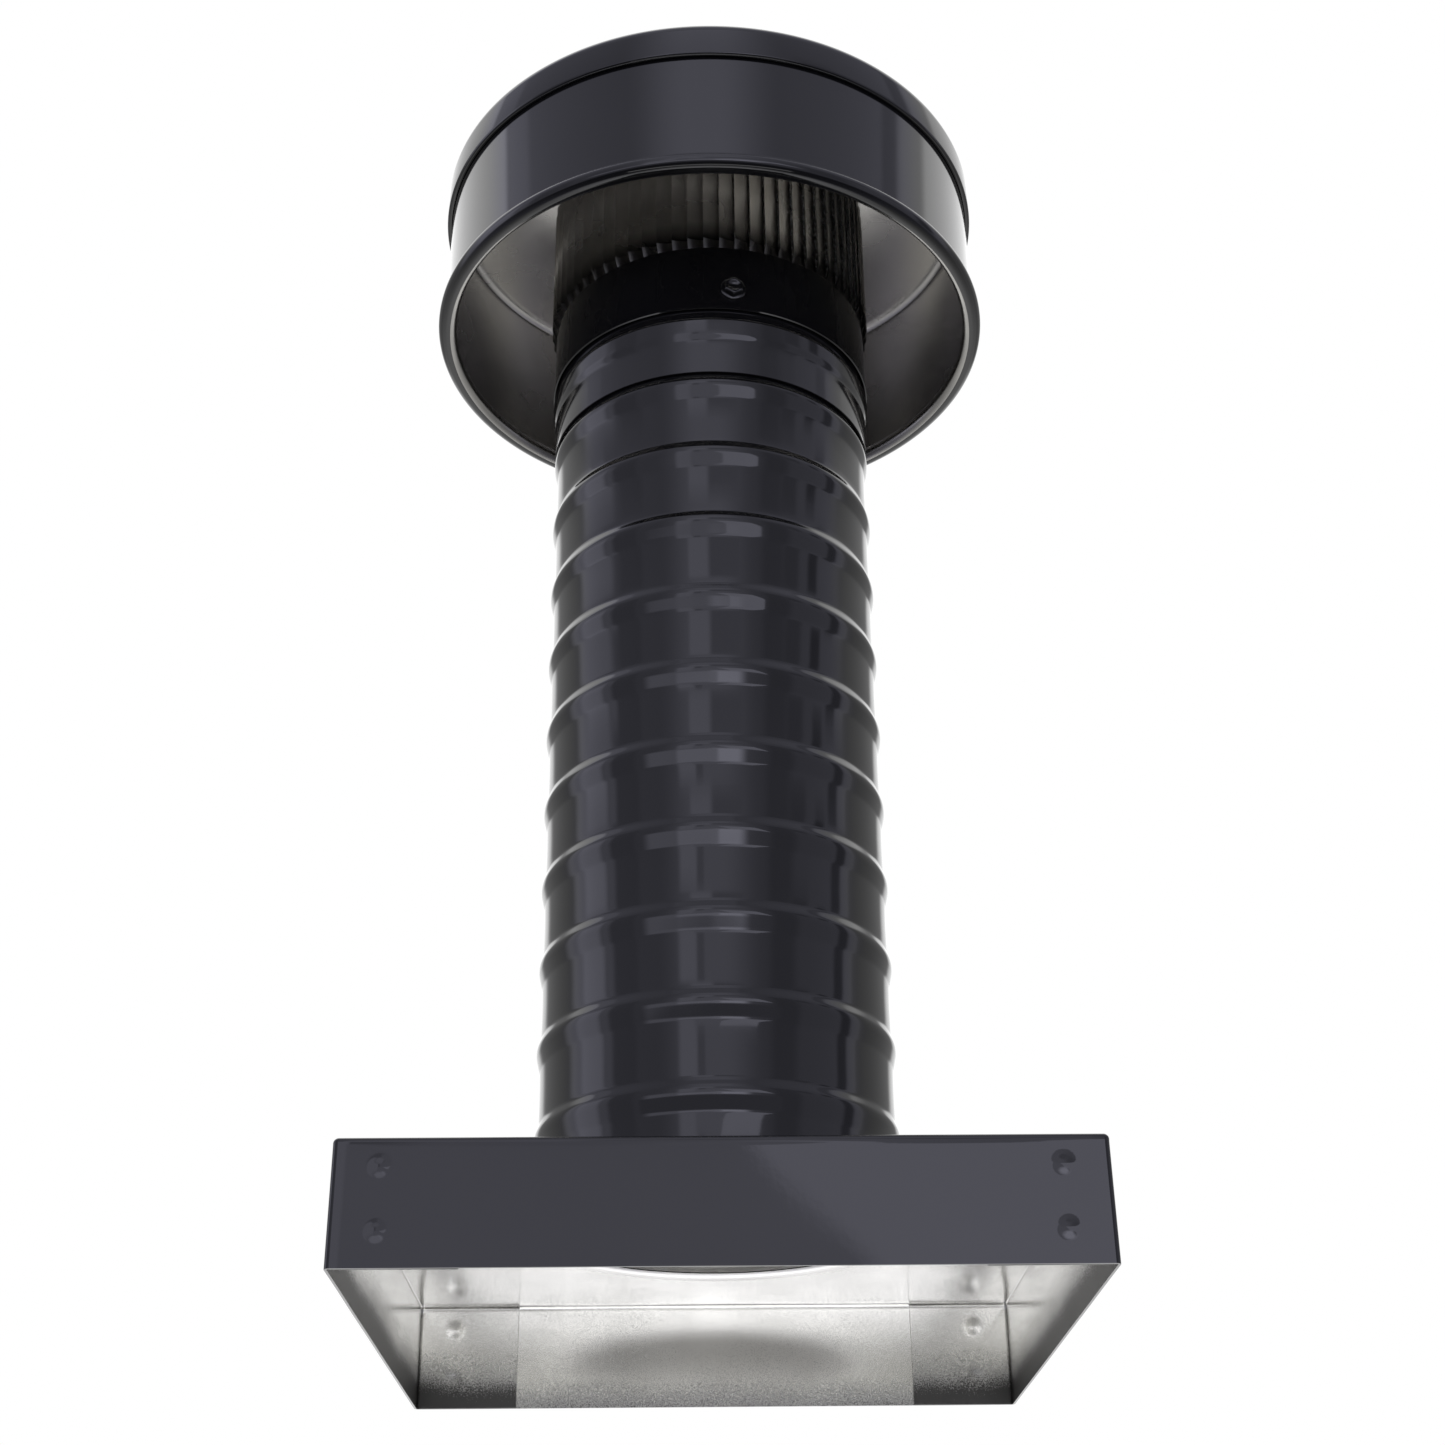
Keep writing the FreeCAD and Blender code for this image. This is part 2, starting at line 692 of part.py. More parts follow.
def motor_end_cap():
    """The moulded cap that closes the can, with the rear bearing's seat and the lead's boss."""
    body = turned("EndCap", [
        ("bearing_radius", CAN_BACK), ("can_radius", CAN_BACK), ("can_radius", f"{CAN_BACK} + cap_edge"),
        ("can_radius - cap_edge", MOTOR_BACK), ("bearing_radius", MOTOR_BACK),
    ])
    boss = cylinder("lead_radius * 2", "lead_boss + overrun", y="lead_offset", z=f"{MOTOR_BACK} - overrun")
    socket = cylinder("lead_radius + hole_gap", "cutter_reach", y="lead_offset", z=MOTOR_BACK)
    keep("motor_end_cap", cut(fuse(body, boss), socket))


def motor_bearings():
    """The front and rear sleeve bearings."""
    bearings = []
    for bottom in (MOTOR_FRONT, f"{MOTOR_BACK} - bearing_height"):
        ring = cylinder("bearing_radius", "bearing_height", z=bottom)
        bore = cylinder("shaft_radius + running_gap", "bearing_height + 2 * overrun",
                        z=f"{bottom} - overrun")
        bearings.append(cut(ring, bore))
    keep("motor_bearings", group(bearings))


def motor_magnets():
    """Two curved field magnets inside the can."""
    outer = "can_radius - can_sheet"
    bottom = f"{MOTOR_FRONT} + magnet_gap"
    magnets = []
    for start in (FIRST_MAGNET, FIRST_MAGNET + FULL_TURN / 2):
        body = turned("Magnet", [("magnet_inner", bottom), (outer, bottom),
                                 (outer, f"{bottom} + magnet_length"),
                                 ("magnet_inner", f"{bottom} + magnet_length")], angle=MAGNET_SPAN)
        body.Placement = FreeCAD.Placement(FreeCAD.Vector(), FreeCAD.Rotation(Z_AXIS, start))
        magnets.append(body)
    keep("motor_magnets", group(magnets))


def motor_brushes():
    """Two carbon brushes that stand off the commutator by a hair."""
    bottom = f"{CAN_BACK} - brush_width"
    brushes = [block("brush_length", "brush_width", "brush_width",
                     f"{side}(commutator_radius + brush_gap + brush_length / 2)", "0", bottom)
               for side in ("", "-")]
    keep("motor_brushes", group(brushes))


def motor_screws():
    """The two screws that hold the motor to the web."""
    screws = []
    for side in ("", "-"):
        x = f"{side}motor_screw_x"
        screws.append(fuse(cylinder("motor_screw_head", "motor_screw_head_height", x,
                                    z="bracket_web - motor_screw_head_height"),
                           cylinder("motor_screw_radius", "bracket_sheet + can_sheet + 2 * overrun", x,
                                    z="bracket_web - overrun")))
    keep("motor_screws", group(screws))


# ---------------------------------------------------------------- rotor
def motor_rotor():
    """The shaft, and the armature and commutator on it."""
    keep("motor_shaft", cylinder("shaft_radius", f"{MOTOR_BACK} + overrun - shaft_bottom", z="shaft_bottom"))
    armature_bottom = f"{MOTOR_FRONT} + armature_gap"
    core = cylinder("armature_radius", "armature_length", z=armature_bottom)
    bore = cylinder("shaft_radius", "armature_length + 2 * overrun", z=f"{armature_bottom} - overrun")
    keep("motor_armature", cut(core, bore))
    commutator_bottom = f"{CAN_BACK} - commutator_length"
    drum = cylinder("commutator_radius", "commutator_length - overrun / 2", z=commutator_bottom)
    drum_bore = cylinder("shaft_radius", "commutator_length + 2 * overrun",
                         z=f"{commutator_bottom} - overrun")
    keep("commutator", cut(drum, drum_bore))


def hub_rivet_holes():
    """Cutters for the rivets between the hub's flange and the propeller."""
    def hole():
        return group([cylinder("rivet_radius + hole_gap", "cutter_reach", "hub_rivet_circle",
                               z="prop_plane - cutter_reach / 2")])
    return around(hole, SIZES["blade_count"], FIRST_HUB_RIVET)


def fan_hub():
    """The hub with a flange on top of the propeller's disc and a tapped radial hole."""
    body = turned("FanHub", [
        ("shaft_radius", "hub_bottom"), ("hub_radius", "hub_bottom"), ("hub_radius", "prop_plane"),
        ("hub_flange", "prop_plane"), ("hub_flange", "prop_plane + prop_sheet"),
        ("hub_radius", "prop_plane + prop_sheet"), ("hub_radius", "hub_top"), ("shaft_radius", "hub_top"),
    ])
    tapped = cylinder("motor_screw_radius", "hub_radius + overrun",
                      z="hub_top - set_screw_drop", axis=X_AXIS)
    keep("fan_hub", cut(body, tapped, *hub_rivet_holes()))
    screw = cylinder("motor_screw_radius", "hub_radius - shaft_radius - overrun / 2", "shaft_radius",
                     z="hub_top - set_screw_drop", axis=X_AXIS)
    keep("hub_set_screw", cut(screw, cylinder("shaft_radius", "hub_top - hub_bottom", z="hub_bottom")))


def blade_corners(chord, pitch):
    """The thin tilted section of a blade, square to its radius."""
    reach = f"{chord} / 2 * cos({pitch} * 1 deg)"
    climb = f"{chord} / 2 * sin({pitch} * 1 deg)"
    middle = "(prop_plane - prop_sheet / 2)"
    half = "prop_sheet / 2"
    return [(f"-{reach}", f"{middle} - {climb} - {half}"), (reach, f"{middle} + {climb} - {half}"),
            (reach, f"{middle} + {climb} + {half}"), (f"-{reach}", f"{middle} - {climb} + {half}")]


def propeller():
    """A pressed propeller: a disc with twisted blades, trimmed round at the tips."""
    def blade():
        body = doc.addObject("PartDesign::Body", "Blade")
        root = new_sketch(body, "YZ_Plane", "root_radius")
        outline(root, blade_corners("root_chord", "root_pitch"))
        tip = new_sketch(body, "YZ_Plane", "prop_radius + 2 * overrun")
        outline(tip, blade_corners("tip_chord", "tip_pitch"))
        loft = body.newObject("PartDesign::AdditiveLoft", "Twist")
        loft.Profile = root
        loft.Sections = [tip]
        return body
    disc = cylinder("prop_disc", "prop_sheet", z="prop_plane - prop_sheet")
    blank = fuse(disc, *around(blade, SIZES["blade_count"]))
    trim = doc.addObject("Part::Common", "Trim")
    trim.Base = blank
    trim.Tool = cylinder("prop_radius", "6 * cutter_reach", z="prop_plane - 3 * cutter_reach")
    bore = cylinder("hub_radius + hole_gap", "6 * cutter_reach", z="prop_plane - 3 * cutter_reach")
    keep("propeller", cut(trim, bore, *hub_rivet_holes()))


def hub_rivets():
    """Rivets through the hub's flange and the propeller's disc."""
    def rivet():
        return fuse(cylinder("rivet_radius", "2 * prop_sheet + overrun", "hub_rivet_circle",
                             z="prop_plane - prop_sheet - overrun / 2"),
                    cylinder("hub_rivet_head", "overrun", "hub_rivet_circle", z="prop_plane + prop_sheet"),
                    cylinder("hub_rivet_head", "overrun", "hub_rivet_circle",
                             z="prop_plane - prop_sheet - overrun"))
    keep("hub_rivets", group(around(rivet, SIZES["blade_count"], FIRST_HUB_RIVET)))


# ---------------------------------------------------------------- solar panel and lead
FRAME_BOTTOM = "panel_top - frame_height"
GLASS_BOTTOM = "panel_top - glass_recess - glass"
CELL_BOTTOM = f"{GLASS_BOTTOM} - cell"
SEAT = f"{CELL_BOTTOM} - backsheet"
RAIL_BOTTOM = f"{FRAME_BOTTOM} - rail_height"
LAMINATE = "panel_width - 2 * frame_wall - 2 * laminate_gap"


def panel_frame():
    """The square channel frame that carries the laminate on an inner lip."""
    body = doc.addObject("PartDesign::Body", "PanelFrame")
    outer = new_sketch(body, "XY_Plane", FRAME_BOTTOM)
    square(outer, "panel_width")
    pad(body, outer, "frame_height")
    recess = new_sketch(body, "XY_Plane", "panel_top")
    square(recess, "panel_width - 2 * frame_wall")
    pocket_down(body, recess, f"panel_top - ({SEAT})")
    window = new_sketch(body, "XY_Plane", "panel_top")
    square(window, "panel_width - 2 * frame_wall - 2 * frame_lip")
    pocket_down(body, window, "frame_height + overrun")
    keep("panel_frame", cut(body, *rail_screw_holes()))


def panel_laminate():
    """The glass, the cells in rows and the backsheet, one on another."""
    keep("panel_glass", block(LAMINATE, LAMINATE, "glass", z=GLASS_BOTTOM))
    cells = []
    for column in range(CELL_ROWS):
        for line in range(CELL_ROWS):
            x = f"{column - (CELL_ROWS - 1) / 2} * cell_pitch"
            y = f"{line - (CELL_ROWS - 1) / 2} * cell_pitch"
            cells.append(block("cell_width", "cell_width", "cell", x, y, CELL_BOTTOM))
    keep("solar_cells", group(cells))
    keep("panel_backsheet", block(LAMINATE, LAMINATE, "backsheet", z=SEAT))


def rail_screw_holes():
    """Cutters for the screws between the rails and the frame's lip."""
    return [cylinder("motor_screw_radius + hole_gap", "rail_height + 5 * overrun", x, y,
                     f"{RAIL_BOTTOM} - 2 * overrun")
            for x, y in four_corners("rail_screw_x", "rail_offset")]


def panel_mounting():
    """Two rails under the frame, on spacers bolted through the lid."""
    rails = []
    for end in ("", "-"):
        bar = block("panel_width", "rail_width", "rail_height", y=f"{end}rail_offset", z=RAIL_BOTTOM)
        rails.append(cut(bar, *bolt_holes("rail_offset", "rail_offset"), *rail_screw_holes()))
    keep("panel_rails", group(rails))
    spacers = []
    bolts = []
    nuts = []
    for x, y in four_corners("rail_offset", "rail_offset"):
        post = cylinder("spacer_radius", f"{RAIL_BOTTOM} - lid_top", x, y, "lid_top")
        spacers.append(cut(post, cylinder("bolt_radius + hole_gap", "2 * cutter_reach", x, y,
                                          "lid_top - overrun")))
        head = cylinder("bolt_head", "bolt_head_height", x, y, f"{LID_UNDERSIDE} - bolt_head_height")
        shank = cylinder("bolt_radius", f"{FRAME_BOTTOM} + nut_height + overrun - ({LID_UNDERSIDE})", x, y,
                         f"{LID_UNDERSIDE} - overrun / 2")
        bolts.append(fuse(head, shank))
        ring = hexagon("nut_radius", "nut_height", x, y, FRAME_BOTTOM)
        bore = cylinder("bolt_radius + hole_gap / 2", "nut_height + 2 * overrun", x, y,
                        f"{FRAME_BOTTOM} - overrun")
        nuts.append(cut(ring, bore))
    keep("panel_spacers", group(spacers))
    keep("panel_bolts", group(bolts))
    keep("panel_nuts", group(nuts))
    screws = []
    for x, y in four_corners("rail_screw_x", "rail_offset"):
        screws.append(fuse(cylinder("motor_screw_head", "motor_screw_head_height", x, y,
                                    f"{RAIL_BOTTOM} - motor_screw_head_height"),
                           cylinder("motor_screw_radius", "rail_height + 3 * overrun", x, y,
                                    f"{RAIL_BOTTOM} - overrun")))
    keep("rail_screws", group(screws))


def junction_box():
    """The box under the backsheet that the lead comes out of."""
    keep("junction_box", block("box_length", "box_width", "box_height",
                               y="lead_offset", z=f"{SEAT} - box_height"))


def lead_and_grommet():
    """The rubber grommet in the lid and the lead that drops through it to the motor."""
    body = turned("Grommet", [
        ("lead_radius", f"{LID_UNDERSIDE} - grommet_lip"),
        ("grommet_flange", f"{LID_UNDERSIDE} - grommet_lip"),
        ("grommet_flange", LID_UNDERSIDE), ("grommet_radius", LID_UNDERSIDE),
        ("grommet_radius", "lid_top"), ("grommet_flange", "lid_top"),
        ("grommet_flange", "lid_top + grommet_lip"), ("lead_radius", "lid_top + grommet_lip"),
    ])
    locate(body, y="lead_offset")
    keep("lead_grommet", body)
    keep("motor_lead", cylinder("lead_radius", f"{SEAT} - box_height - ({MOTOR_BACK})",
                                y="lead_offset", z=MOTOR_BACK))


# ---------------------------------------------------------------- build and export
def export_nodes():
    """Check every object and write each sub-part as its own STEP file."""
    doc.recompute()
    for thing in doc.Objects:
        if "Invalid" in thing.State or "Error" in thing.State:
            raise ValueError(f"{thing.Label} did not compute")
    os.makedirs("parts", exist_ok=True)
    for node in nodes:
        if node.Shape.isNull() or not node.Shape.isValid():
            raise ValueError(f"{node.Label} has no valid shape")
        node.Shape.exportStep(f"parts/{node.Label}.step")
        print(node.Label, len(node.Shape.Solids), round(node.Shape.Volume))


for make in (curb_base, duct_tube, neck_sleeve, louver_ring, collar_screws, insect_screen, wind_band,
             lid, lid_rivets, motor_bracket, bracket_bolts, motor_can, motor_end_cap, motor_bearings,
             motor_magnets, motor_brushes, motor_screws, motor_rotor, fan_hub, propeller, hub_rivets,
             panel_frame, panel_laminate, panel_mounting, junction_box, lead_and_grommet):
    make()
export_nodes()
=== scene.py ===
"""Looks of the solar attic fan: rolled and bent sheet, louvres, screen, solar panel and motor.

Metres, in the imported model's frame. The duct's axis is Z, the base's front wall faces -Y and
the lower edge of its skirt is at z = 0. Angles are in degrees unless a name says otherwise.
"""
import math

import bmesh
import bpy
from mathutils import Matrix, Vector, noise


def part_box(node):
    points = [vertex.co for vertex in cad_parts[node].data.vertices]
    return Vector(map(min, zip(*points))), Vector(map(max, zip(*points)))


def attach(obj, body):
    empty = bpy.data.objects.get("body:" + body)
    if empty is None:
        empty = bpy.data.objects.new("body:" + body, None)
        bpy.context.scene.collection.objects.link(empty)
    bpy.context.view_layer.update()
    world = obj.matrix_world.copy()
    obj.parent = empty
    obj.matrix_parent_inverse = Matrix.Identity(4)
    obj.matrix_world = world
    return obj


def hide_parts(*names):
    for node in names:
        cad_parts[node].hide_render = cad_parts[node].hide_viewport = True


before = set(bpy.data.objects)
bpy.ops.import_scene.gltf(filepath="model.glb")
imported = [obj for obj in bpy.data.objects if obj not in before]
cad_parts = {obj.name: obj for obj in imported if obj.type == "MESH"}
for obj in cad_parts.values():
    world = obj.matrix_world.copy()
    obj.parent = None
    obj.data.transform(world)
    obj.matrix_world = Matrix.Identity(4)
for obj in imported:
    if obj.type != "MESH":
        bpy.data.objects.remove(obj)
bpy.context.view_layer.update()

MM = 0.001
OUTER = 0
INNER = 1
RAMP = 2
DENT_RING = 80.0 * MM
BEVEL_STEPS = 2
BEVEL_LIMIT = 35.0
HOUSING = "housing"
ROTOR = "rotor"


# ---------------------------------------------------------------- mesh building
class Shape:
    """Vertices and faces gathered part by part before they become one mesh."""

    def __init__(self):
        self.points = []
        self.faces = []
        self.sides = []

    def add_face(self, corners, side):
        self.faces.append(corners)
        self.sides.append(side)

    def add_grid(self, rows, sides, wrap_rows=False, wrap_columns=False):
        """Quads between rows of points. sides is one side, or one for each strip of quads."""
        start = len(self.points)
        width = len(rows[0])
        for row in rows:
            self.points.extend(row)
        strips = len(rows) if wrap_rows else len(rows) - 1
        columns = width if wrap_columns else width - 1
        for strip in range(strips):
            side = sides if isinstance(sides, int) else sides[strip]
            below = start + strip * width
            above = start + (strip + 1) % len(rows) * width
            for column in range(columns):
                beside = (column + 1) % width
                self.add_face((below + column, below + beside, above + beside, above + column), side)

    def add_sheet(self, outer, inner, edge_side=OUTER):
        """A thin plate between two matching grids of points, closed along its four edges."""
        self.add_grid(outer, OUTER)
        self.add_grid([row[::-1] for row in inner], INNER)
        self.add_grid([inner[0], outer[0]], edge_side)
        self.add_grid([outer[-1], inner[-1]], edge_side)
        self.add_grid([[row[0] for row in outer], [row[0] for row in inner]], edge_side)
        self.add_grid([[row[-1] for row in inner], [row[-1] for row in outer]], edge_side)

    def add_lathe(self, profile, sides, segments=256):
        """A closed profile of (radius, height) points turned about Z."""
        turns = [math.tau * step / segments for step in range(segments)]
        rows = [[(radius * math.cos(turn), radius * math.sin(turn), height) for turn in turns]
                for radius, height in profile]
        self.add_grid(rows, sides, wrap_rows=True, wrap_columns=True)

    def add_dents(self, depth, length):
        """Moves points in and out from the Z axis by a smooth waviness, as rolled sheet has."""
        for index, (east, north, height) in enumerate(self.points):
            away = math.hypot(east, north)
            if away > 0.0:
                ring = DENT_RING / away
                across = Vector((east * ring, north * ring, height)) / length
                grow = 1 + depth * noise.noise(across) / away
                self.points[index] = (east * grow, north * grow, height)

    def add_loft(self, loops):
        """Closed loops of points joined in order, with flat ends."""
        start = len(self.points)
        width = len(loops[0])
        self.add_grid(loops, OUTER, wrap_columns=True)
        last = start + (len(loops) - 1) * width
        self.add_face(tuple(range(start + width - 1, start - 1, -1)), OUTER)
        self.add_face(tuple(range(last, last + width)), OUTER)


def make_piece(name, shape, materials, body, nodes, sharp_angle=32.0):
    """A mesh object of the gathered shape that rides on a body and stands for CAD nodes."""
    mesh = bpy.data.meshes.new(name)
    mesh.from_pydata(shape.points, [], shape.faces)
    for material in materials:
        mesh.materials.append(material)
    mesh.polygons.foreach_set("material_index", shape.sides)
    clean = bmesh.new()
    clean.from_mesh(mesh)
    bmesh.ops.remove_doubles(clean, verts=clean.verts, dist=0.002 * MM)
    clean.to_mesh(mesh)
    clean.free()
    mesh.shade_smooth()
    mesh.set_sharp_from_angle(angle=math.radians(sharp_angle))
    piece = bpy.data.objects.new(name, mesh)
    bpy.context.scene.collection.objects.link(piece)
    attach(piece, body)
    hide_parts(*nodes)


def bevel(piece, width):
    """Rounds a piece's sharp edges, as real parts have."""
    modifier = piece.modifiers.new("Bevel", "BEVEL")
    modifier.width = width
    modifier.segments = BEVEL_STEPS
    modifier.limit_method = "ANGLE"
    modifier.angle_limit = math.radians(BEVEL_LIMIT)
    modifier.harden_normals = False


def sheet_profile(path, thickness):
    """A closed profile of sheet metal: the path, and its copy one thickness to the path's left."""
    offset = []
    for index, point in enumerate(path):
        before = Vector(path[max(index - 1, 0)])
        after = Vector(path[min(index + 1, len(path) - 1)])
        here = Vector(point)
        first = (here - before).normalized() if index else (after - here).normalized()
        second = (after - here).normalized() if index < len(path) - 1 else first
        left = Vector((-first.y - second.y, first.x + second.x)).normalized()
        stretch = max(left.dot(Vector((-first.y, first.x))), 0.5)
        offset.append(tuple(here + left * thickness / stretch))
    return list(path) + offset[::-1]


def profile_sides(path):
    """Sides of a sheet profile's strips: the path and both edges are outer, its copy is inner."""
    return [OUTER] * len(path) + [INNER] * (len(path) - 1) + [OUTER]


def turned_sheet(shape, path, thickness, segments=256):
    """Adds sheet metal that follows a path of (radius, height) points round Z."""
    shape.add_lathe(sheet_profile(path, thickness), profile_sides(path), segments)


BEAD_STEP = 0.5 * MM
LONG_STRETCH = 6.0 * MM
LONG_POINTS = 4


def follow_slopes(knots, rise):
    """Offsets and lifts along a bead that climbs by rise up to offset 0 and falls back after it.

    knots are (offset in millimetres, slope in degrees) pairs; the slope changes evenly between
    them. Long and level stretches get few points.
    """
    points = []
    for side in (-1, 1):
        half = [(offset * MM, math.tan(math.radians(slope))) for offset, slope in knots
                if offset * side >= 0]
        lift = 0.0
        points_here = [(half[0][0], 0.0)]
        for (start, first), (end, second) in zip(half, half[1:]):
            count = max(1, round((end - start) / BEAD_STEP))
            if first == second == 0.0 or end - start > LONG_STRETCH:
                count = LONG_POINTS
            for index in range(count):
                low = first + (second - first) * index / count
                high = first + (second - first) * (index + 1) / count
                lift += (low + high) / 2 * (end - start) / count
                points_here.append((start + (end - start) * (index + 1) / count, lift))
        scale = rise / abs(lift)
        if side < 0:
            points += [(offset, height * scale) for offset, height in points_here]
        else:
            points += [(offset, rise + height * scale) for offset, height in points_here[1:]]
    return points


def bead_points(radius, middle, knots, rise):
    """One rolled bead of a wall, as (radius, height) points going up."""
    return [(radius + lift, middle + offset) for offset, lift in follow_slopes(knots, rise)]


def arc_points(centre, radius, start, end, steps=8):
    """Points on an arc in the (radius, height) plane, between two angles."""
    turns = [math.radians(start + (end - start) * step / steps) for step in range(steps + 1)]
    return [(centre[0] + radius * math.cos(turn), centre[1] + radius * math.sin(turn)) for turn in turns]


def around_axis(count, first=0.0):
    """Equally spaced azimuths about Z, in radians."""
    return [math.radians(first + 360.0 * index / count) for index in range(count)]


def swing(point, turn):
    """A point turned about Z by an angle in radians."""
    east, north, height = point
    return (east * math.cos(turn) - north * math.sin(turn),
            east * math.sin(turn) + north * math.cos(turn), height)


# ---------------------------------------------------------------- material building
class Nodes:
    """Short ways to build a node tree, of a material or of the world."""

    def __init__(self, owner):
        owner.use_nodes = True
        self.tree = owner.node_tree

    def add(self, kind, **properties):
        node = self.tree.nodes.new(kind)
        for name, value in properties.items():
            setattr(node, name, value)
        return node

    def join(self, output, target):
        self.tree.links.new(output, target)

    def fill(self, sockets, values):
        """Gives each socket its value, or joins it to another node's output."""
        for socket, value in zip(sockets, values):
            if isinstance(value, (int, float)):
                socket.default_value = value
            elif isinstance(value, tuple):
                socket.default_value = (*value, 1.0)
            else:
                self.join(value, socket)

    def math(self, operation, *values):
        node = self.add("ShaderNodeMath", operation=operation)
        self.fill(node.inputs, values)
        return node.outputs[0]


class Finish(Nodes):
    """A Principled material and short ways to add detail to it."""

    def __init__(self, name, color, roughness, metallic=0.0, **settings):
        self.material = bpy.data.materials.new(name)
        super().__init__(self.material)
        self.shader = self.tree.nodes["Principled BSDF"]
        self.set("Base Color", (*color, 1.0))
        self.set("Roughness", roughness)
        self.set("Metallic", metallic)
        for socket, value in settings.items():
            self.set(socket.replace("_", " "), value)
        self.place = self.add("ShaderNodeTexCoord").outputs["Object"]
        self.height = None

    def set(self, socket, value):
        self.shader.inputs[socket].default_value = value

    def stretched(self, scale):
        """Object coordinates scaled differently along each axis."""
        mapping = self.add("ShaderNodeMapping")
        mapping.inputs["Scale"].default_value = scale
        self.join(self.place, mapping.inputs["Vector"])
        return mapping.outputs["Vector"]

    def noise(self, scale, detail=3.0, stretch=None, roughness=0.5):
        """Grey noise, with scale in features per metre."""
        texture = self.add("ShaderNodeTexNoise")
        texture.inputs["Scale"].default_value = scale
        texture.inputs["Detail"].default_value = detail
        texture.inputs["Roughness"].default_value = roughness
        self.join(self.stretched(stretch) if stretch else self.place, texture.inputs["Vector"])
        return texture.outputs["Fac"]

    def ramp(self, value, low, high, bottom=0.0, top=1.0):
        """Maps a value's range low to high onto bottom to top, clamped."""
        node = self.add("ShaderNodeMapRange")
        for socket, number in (("From Min", low), ("From Max", high), ("To Min", bottom), ("To Max", top)):
            node.inputs[socket].default_value = number
        self.join(value, node.inputs["Value"])
        return node.outputs["Result"]

    def mix_color(self, share, first, second):
        """A colour between two, each a colour or another node's output."""
        node = self.add("ShaderNodeMix", data_type="RGBA")
        self.fill((node.inputs["Factor"], node.inputs[6], node.inputs[7]), (share, first, second))
        return node.outputs[2]

    def paint_color(self, color):
        self.join(color, self.shader.inputs["Base Color"])

    def vary_color(self, share, first, second):
        """Mottles the base colour and returns it, for more to be mixed over it."""
        color = self.mix_color(share, first, second)
        self.paint_color(color)
        return color

    def vary_roughness(self, share, low, high):
        self.join(self.ramp(share, 0.3, 0.7, low, high), self.shader.inputs["Roughness"])

    def bump(self, value, distance, strength=1.0):
        """Adds fine relief of a depth in metres, on top of any added before."""
        node = self.add("ShaderNodeBump")
        node.inputs["Distance"].default_value = distance
        node.inputs["Strength"].default_value = strength
        self.join(value, node.inputs["Height"])
        if self.height:
            self.join(self.height, node.inputs["Normal"])
        self.height = node.outputs["Normal"]
        self.join(self.height, self.shader.inputs["Normal"])


def black_paint(name, peel, roughness):
    """Glossy baked enamel on sheet: orange peel of a depth, and uneven tone and gloss."""
    finish = Finish(name, (0.0045, 0.0045, 0.0050), roughness)
    cloud = finish.noise(14.0, 2.0)
    finish.vary_color(finish.ramp(cloud, 0.35, 0.65), (0.0040, 0.0040, 0.0045), (0.0055, 0.0055, 0.0062))
    finish.vary_roughness(finish.noise(60.0, 3.0), 0.65 * roughness, 1.35 * roughness)
    finish.bump(finish.noise(380.0, 2.0), peel, 1.0)
    return finish.material


def painted_shade_aluminium(name, low, high, most, least):
    """Bare sheet inside the hood, with painted shade: darkest at a low height, least dark at a high one."""
    finish = Finish(name, (0.70, 0.68, 0.64), 0.26, 1.0)
    split = finish.add("ShaderNodeSeparateXYZ")
    finish.join(finish.place, split.inputs[0])
    smudges = finish.noise(30.0, 3.0)
    drift = finish.ramp(smudges, 0.3, 0.7, -0.06, 0.06)
    # Painted shade: the bare sheet is darkened by a ramp over height, strongest low down, with a little
    # noise.
    painted_shade = finish.math("ADD", finish.ramp(split.outputs["Z"], low, high, most, least), drift)
    bare = finish.mix_color(finish.ramp(smudges, 0.3, 0.7), (0.76, 0.74, 0.70), (0.84, 0.82, 0.79))
    finish.paint_color(finish.mix_color(finish.ramp(painted_shade, 0.0, 1.0), bare, (0.006, 0.006, 0.006)))
    finish.vary_roughness(smudges, 0.20, 0.30)
    finish.bump(finish.noise(16.0, 1.0), 0.06 * MM, 0.4)
    finish.bump(finish.noise(900.0, 2.0), 0.002 * MM, 0.6)
    return finish.material


def bare_aluminium():
    """Mill-finish sheet: soft smudges and fine scratches."""
    finish = Finish("bare_aluminium", (0.88, 0.87, 0.85), 0.50, 1.0)
    smudges = finish.noise(22.0, 3.0)
    finish.vary_color(finish.ramp(smudges, 0.3, 0.7), (0.84, 0.83, 0.81), (0.91, 0.90, 0.88))
    finish.vary_roughness(smudges, 0.43, 0.57)
    finish.bump(finish.noise(60.0, 4.0, (8.0, 8.0, 0.5)), 0.003 * MM, 0.5)
    return finish.material


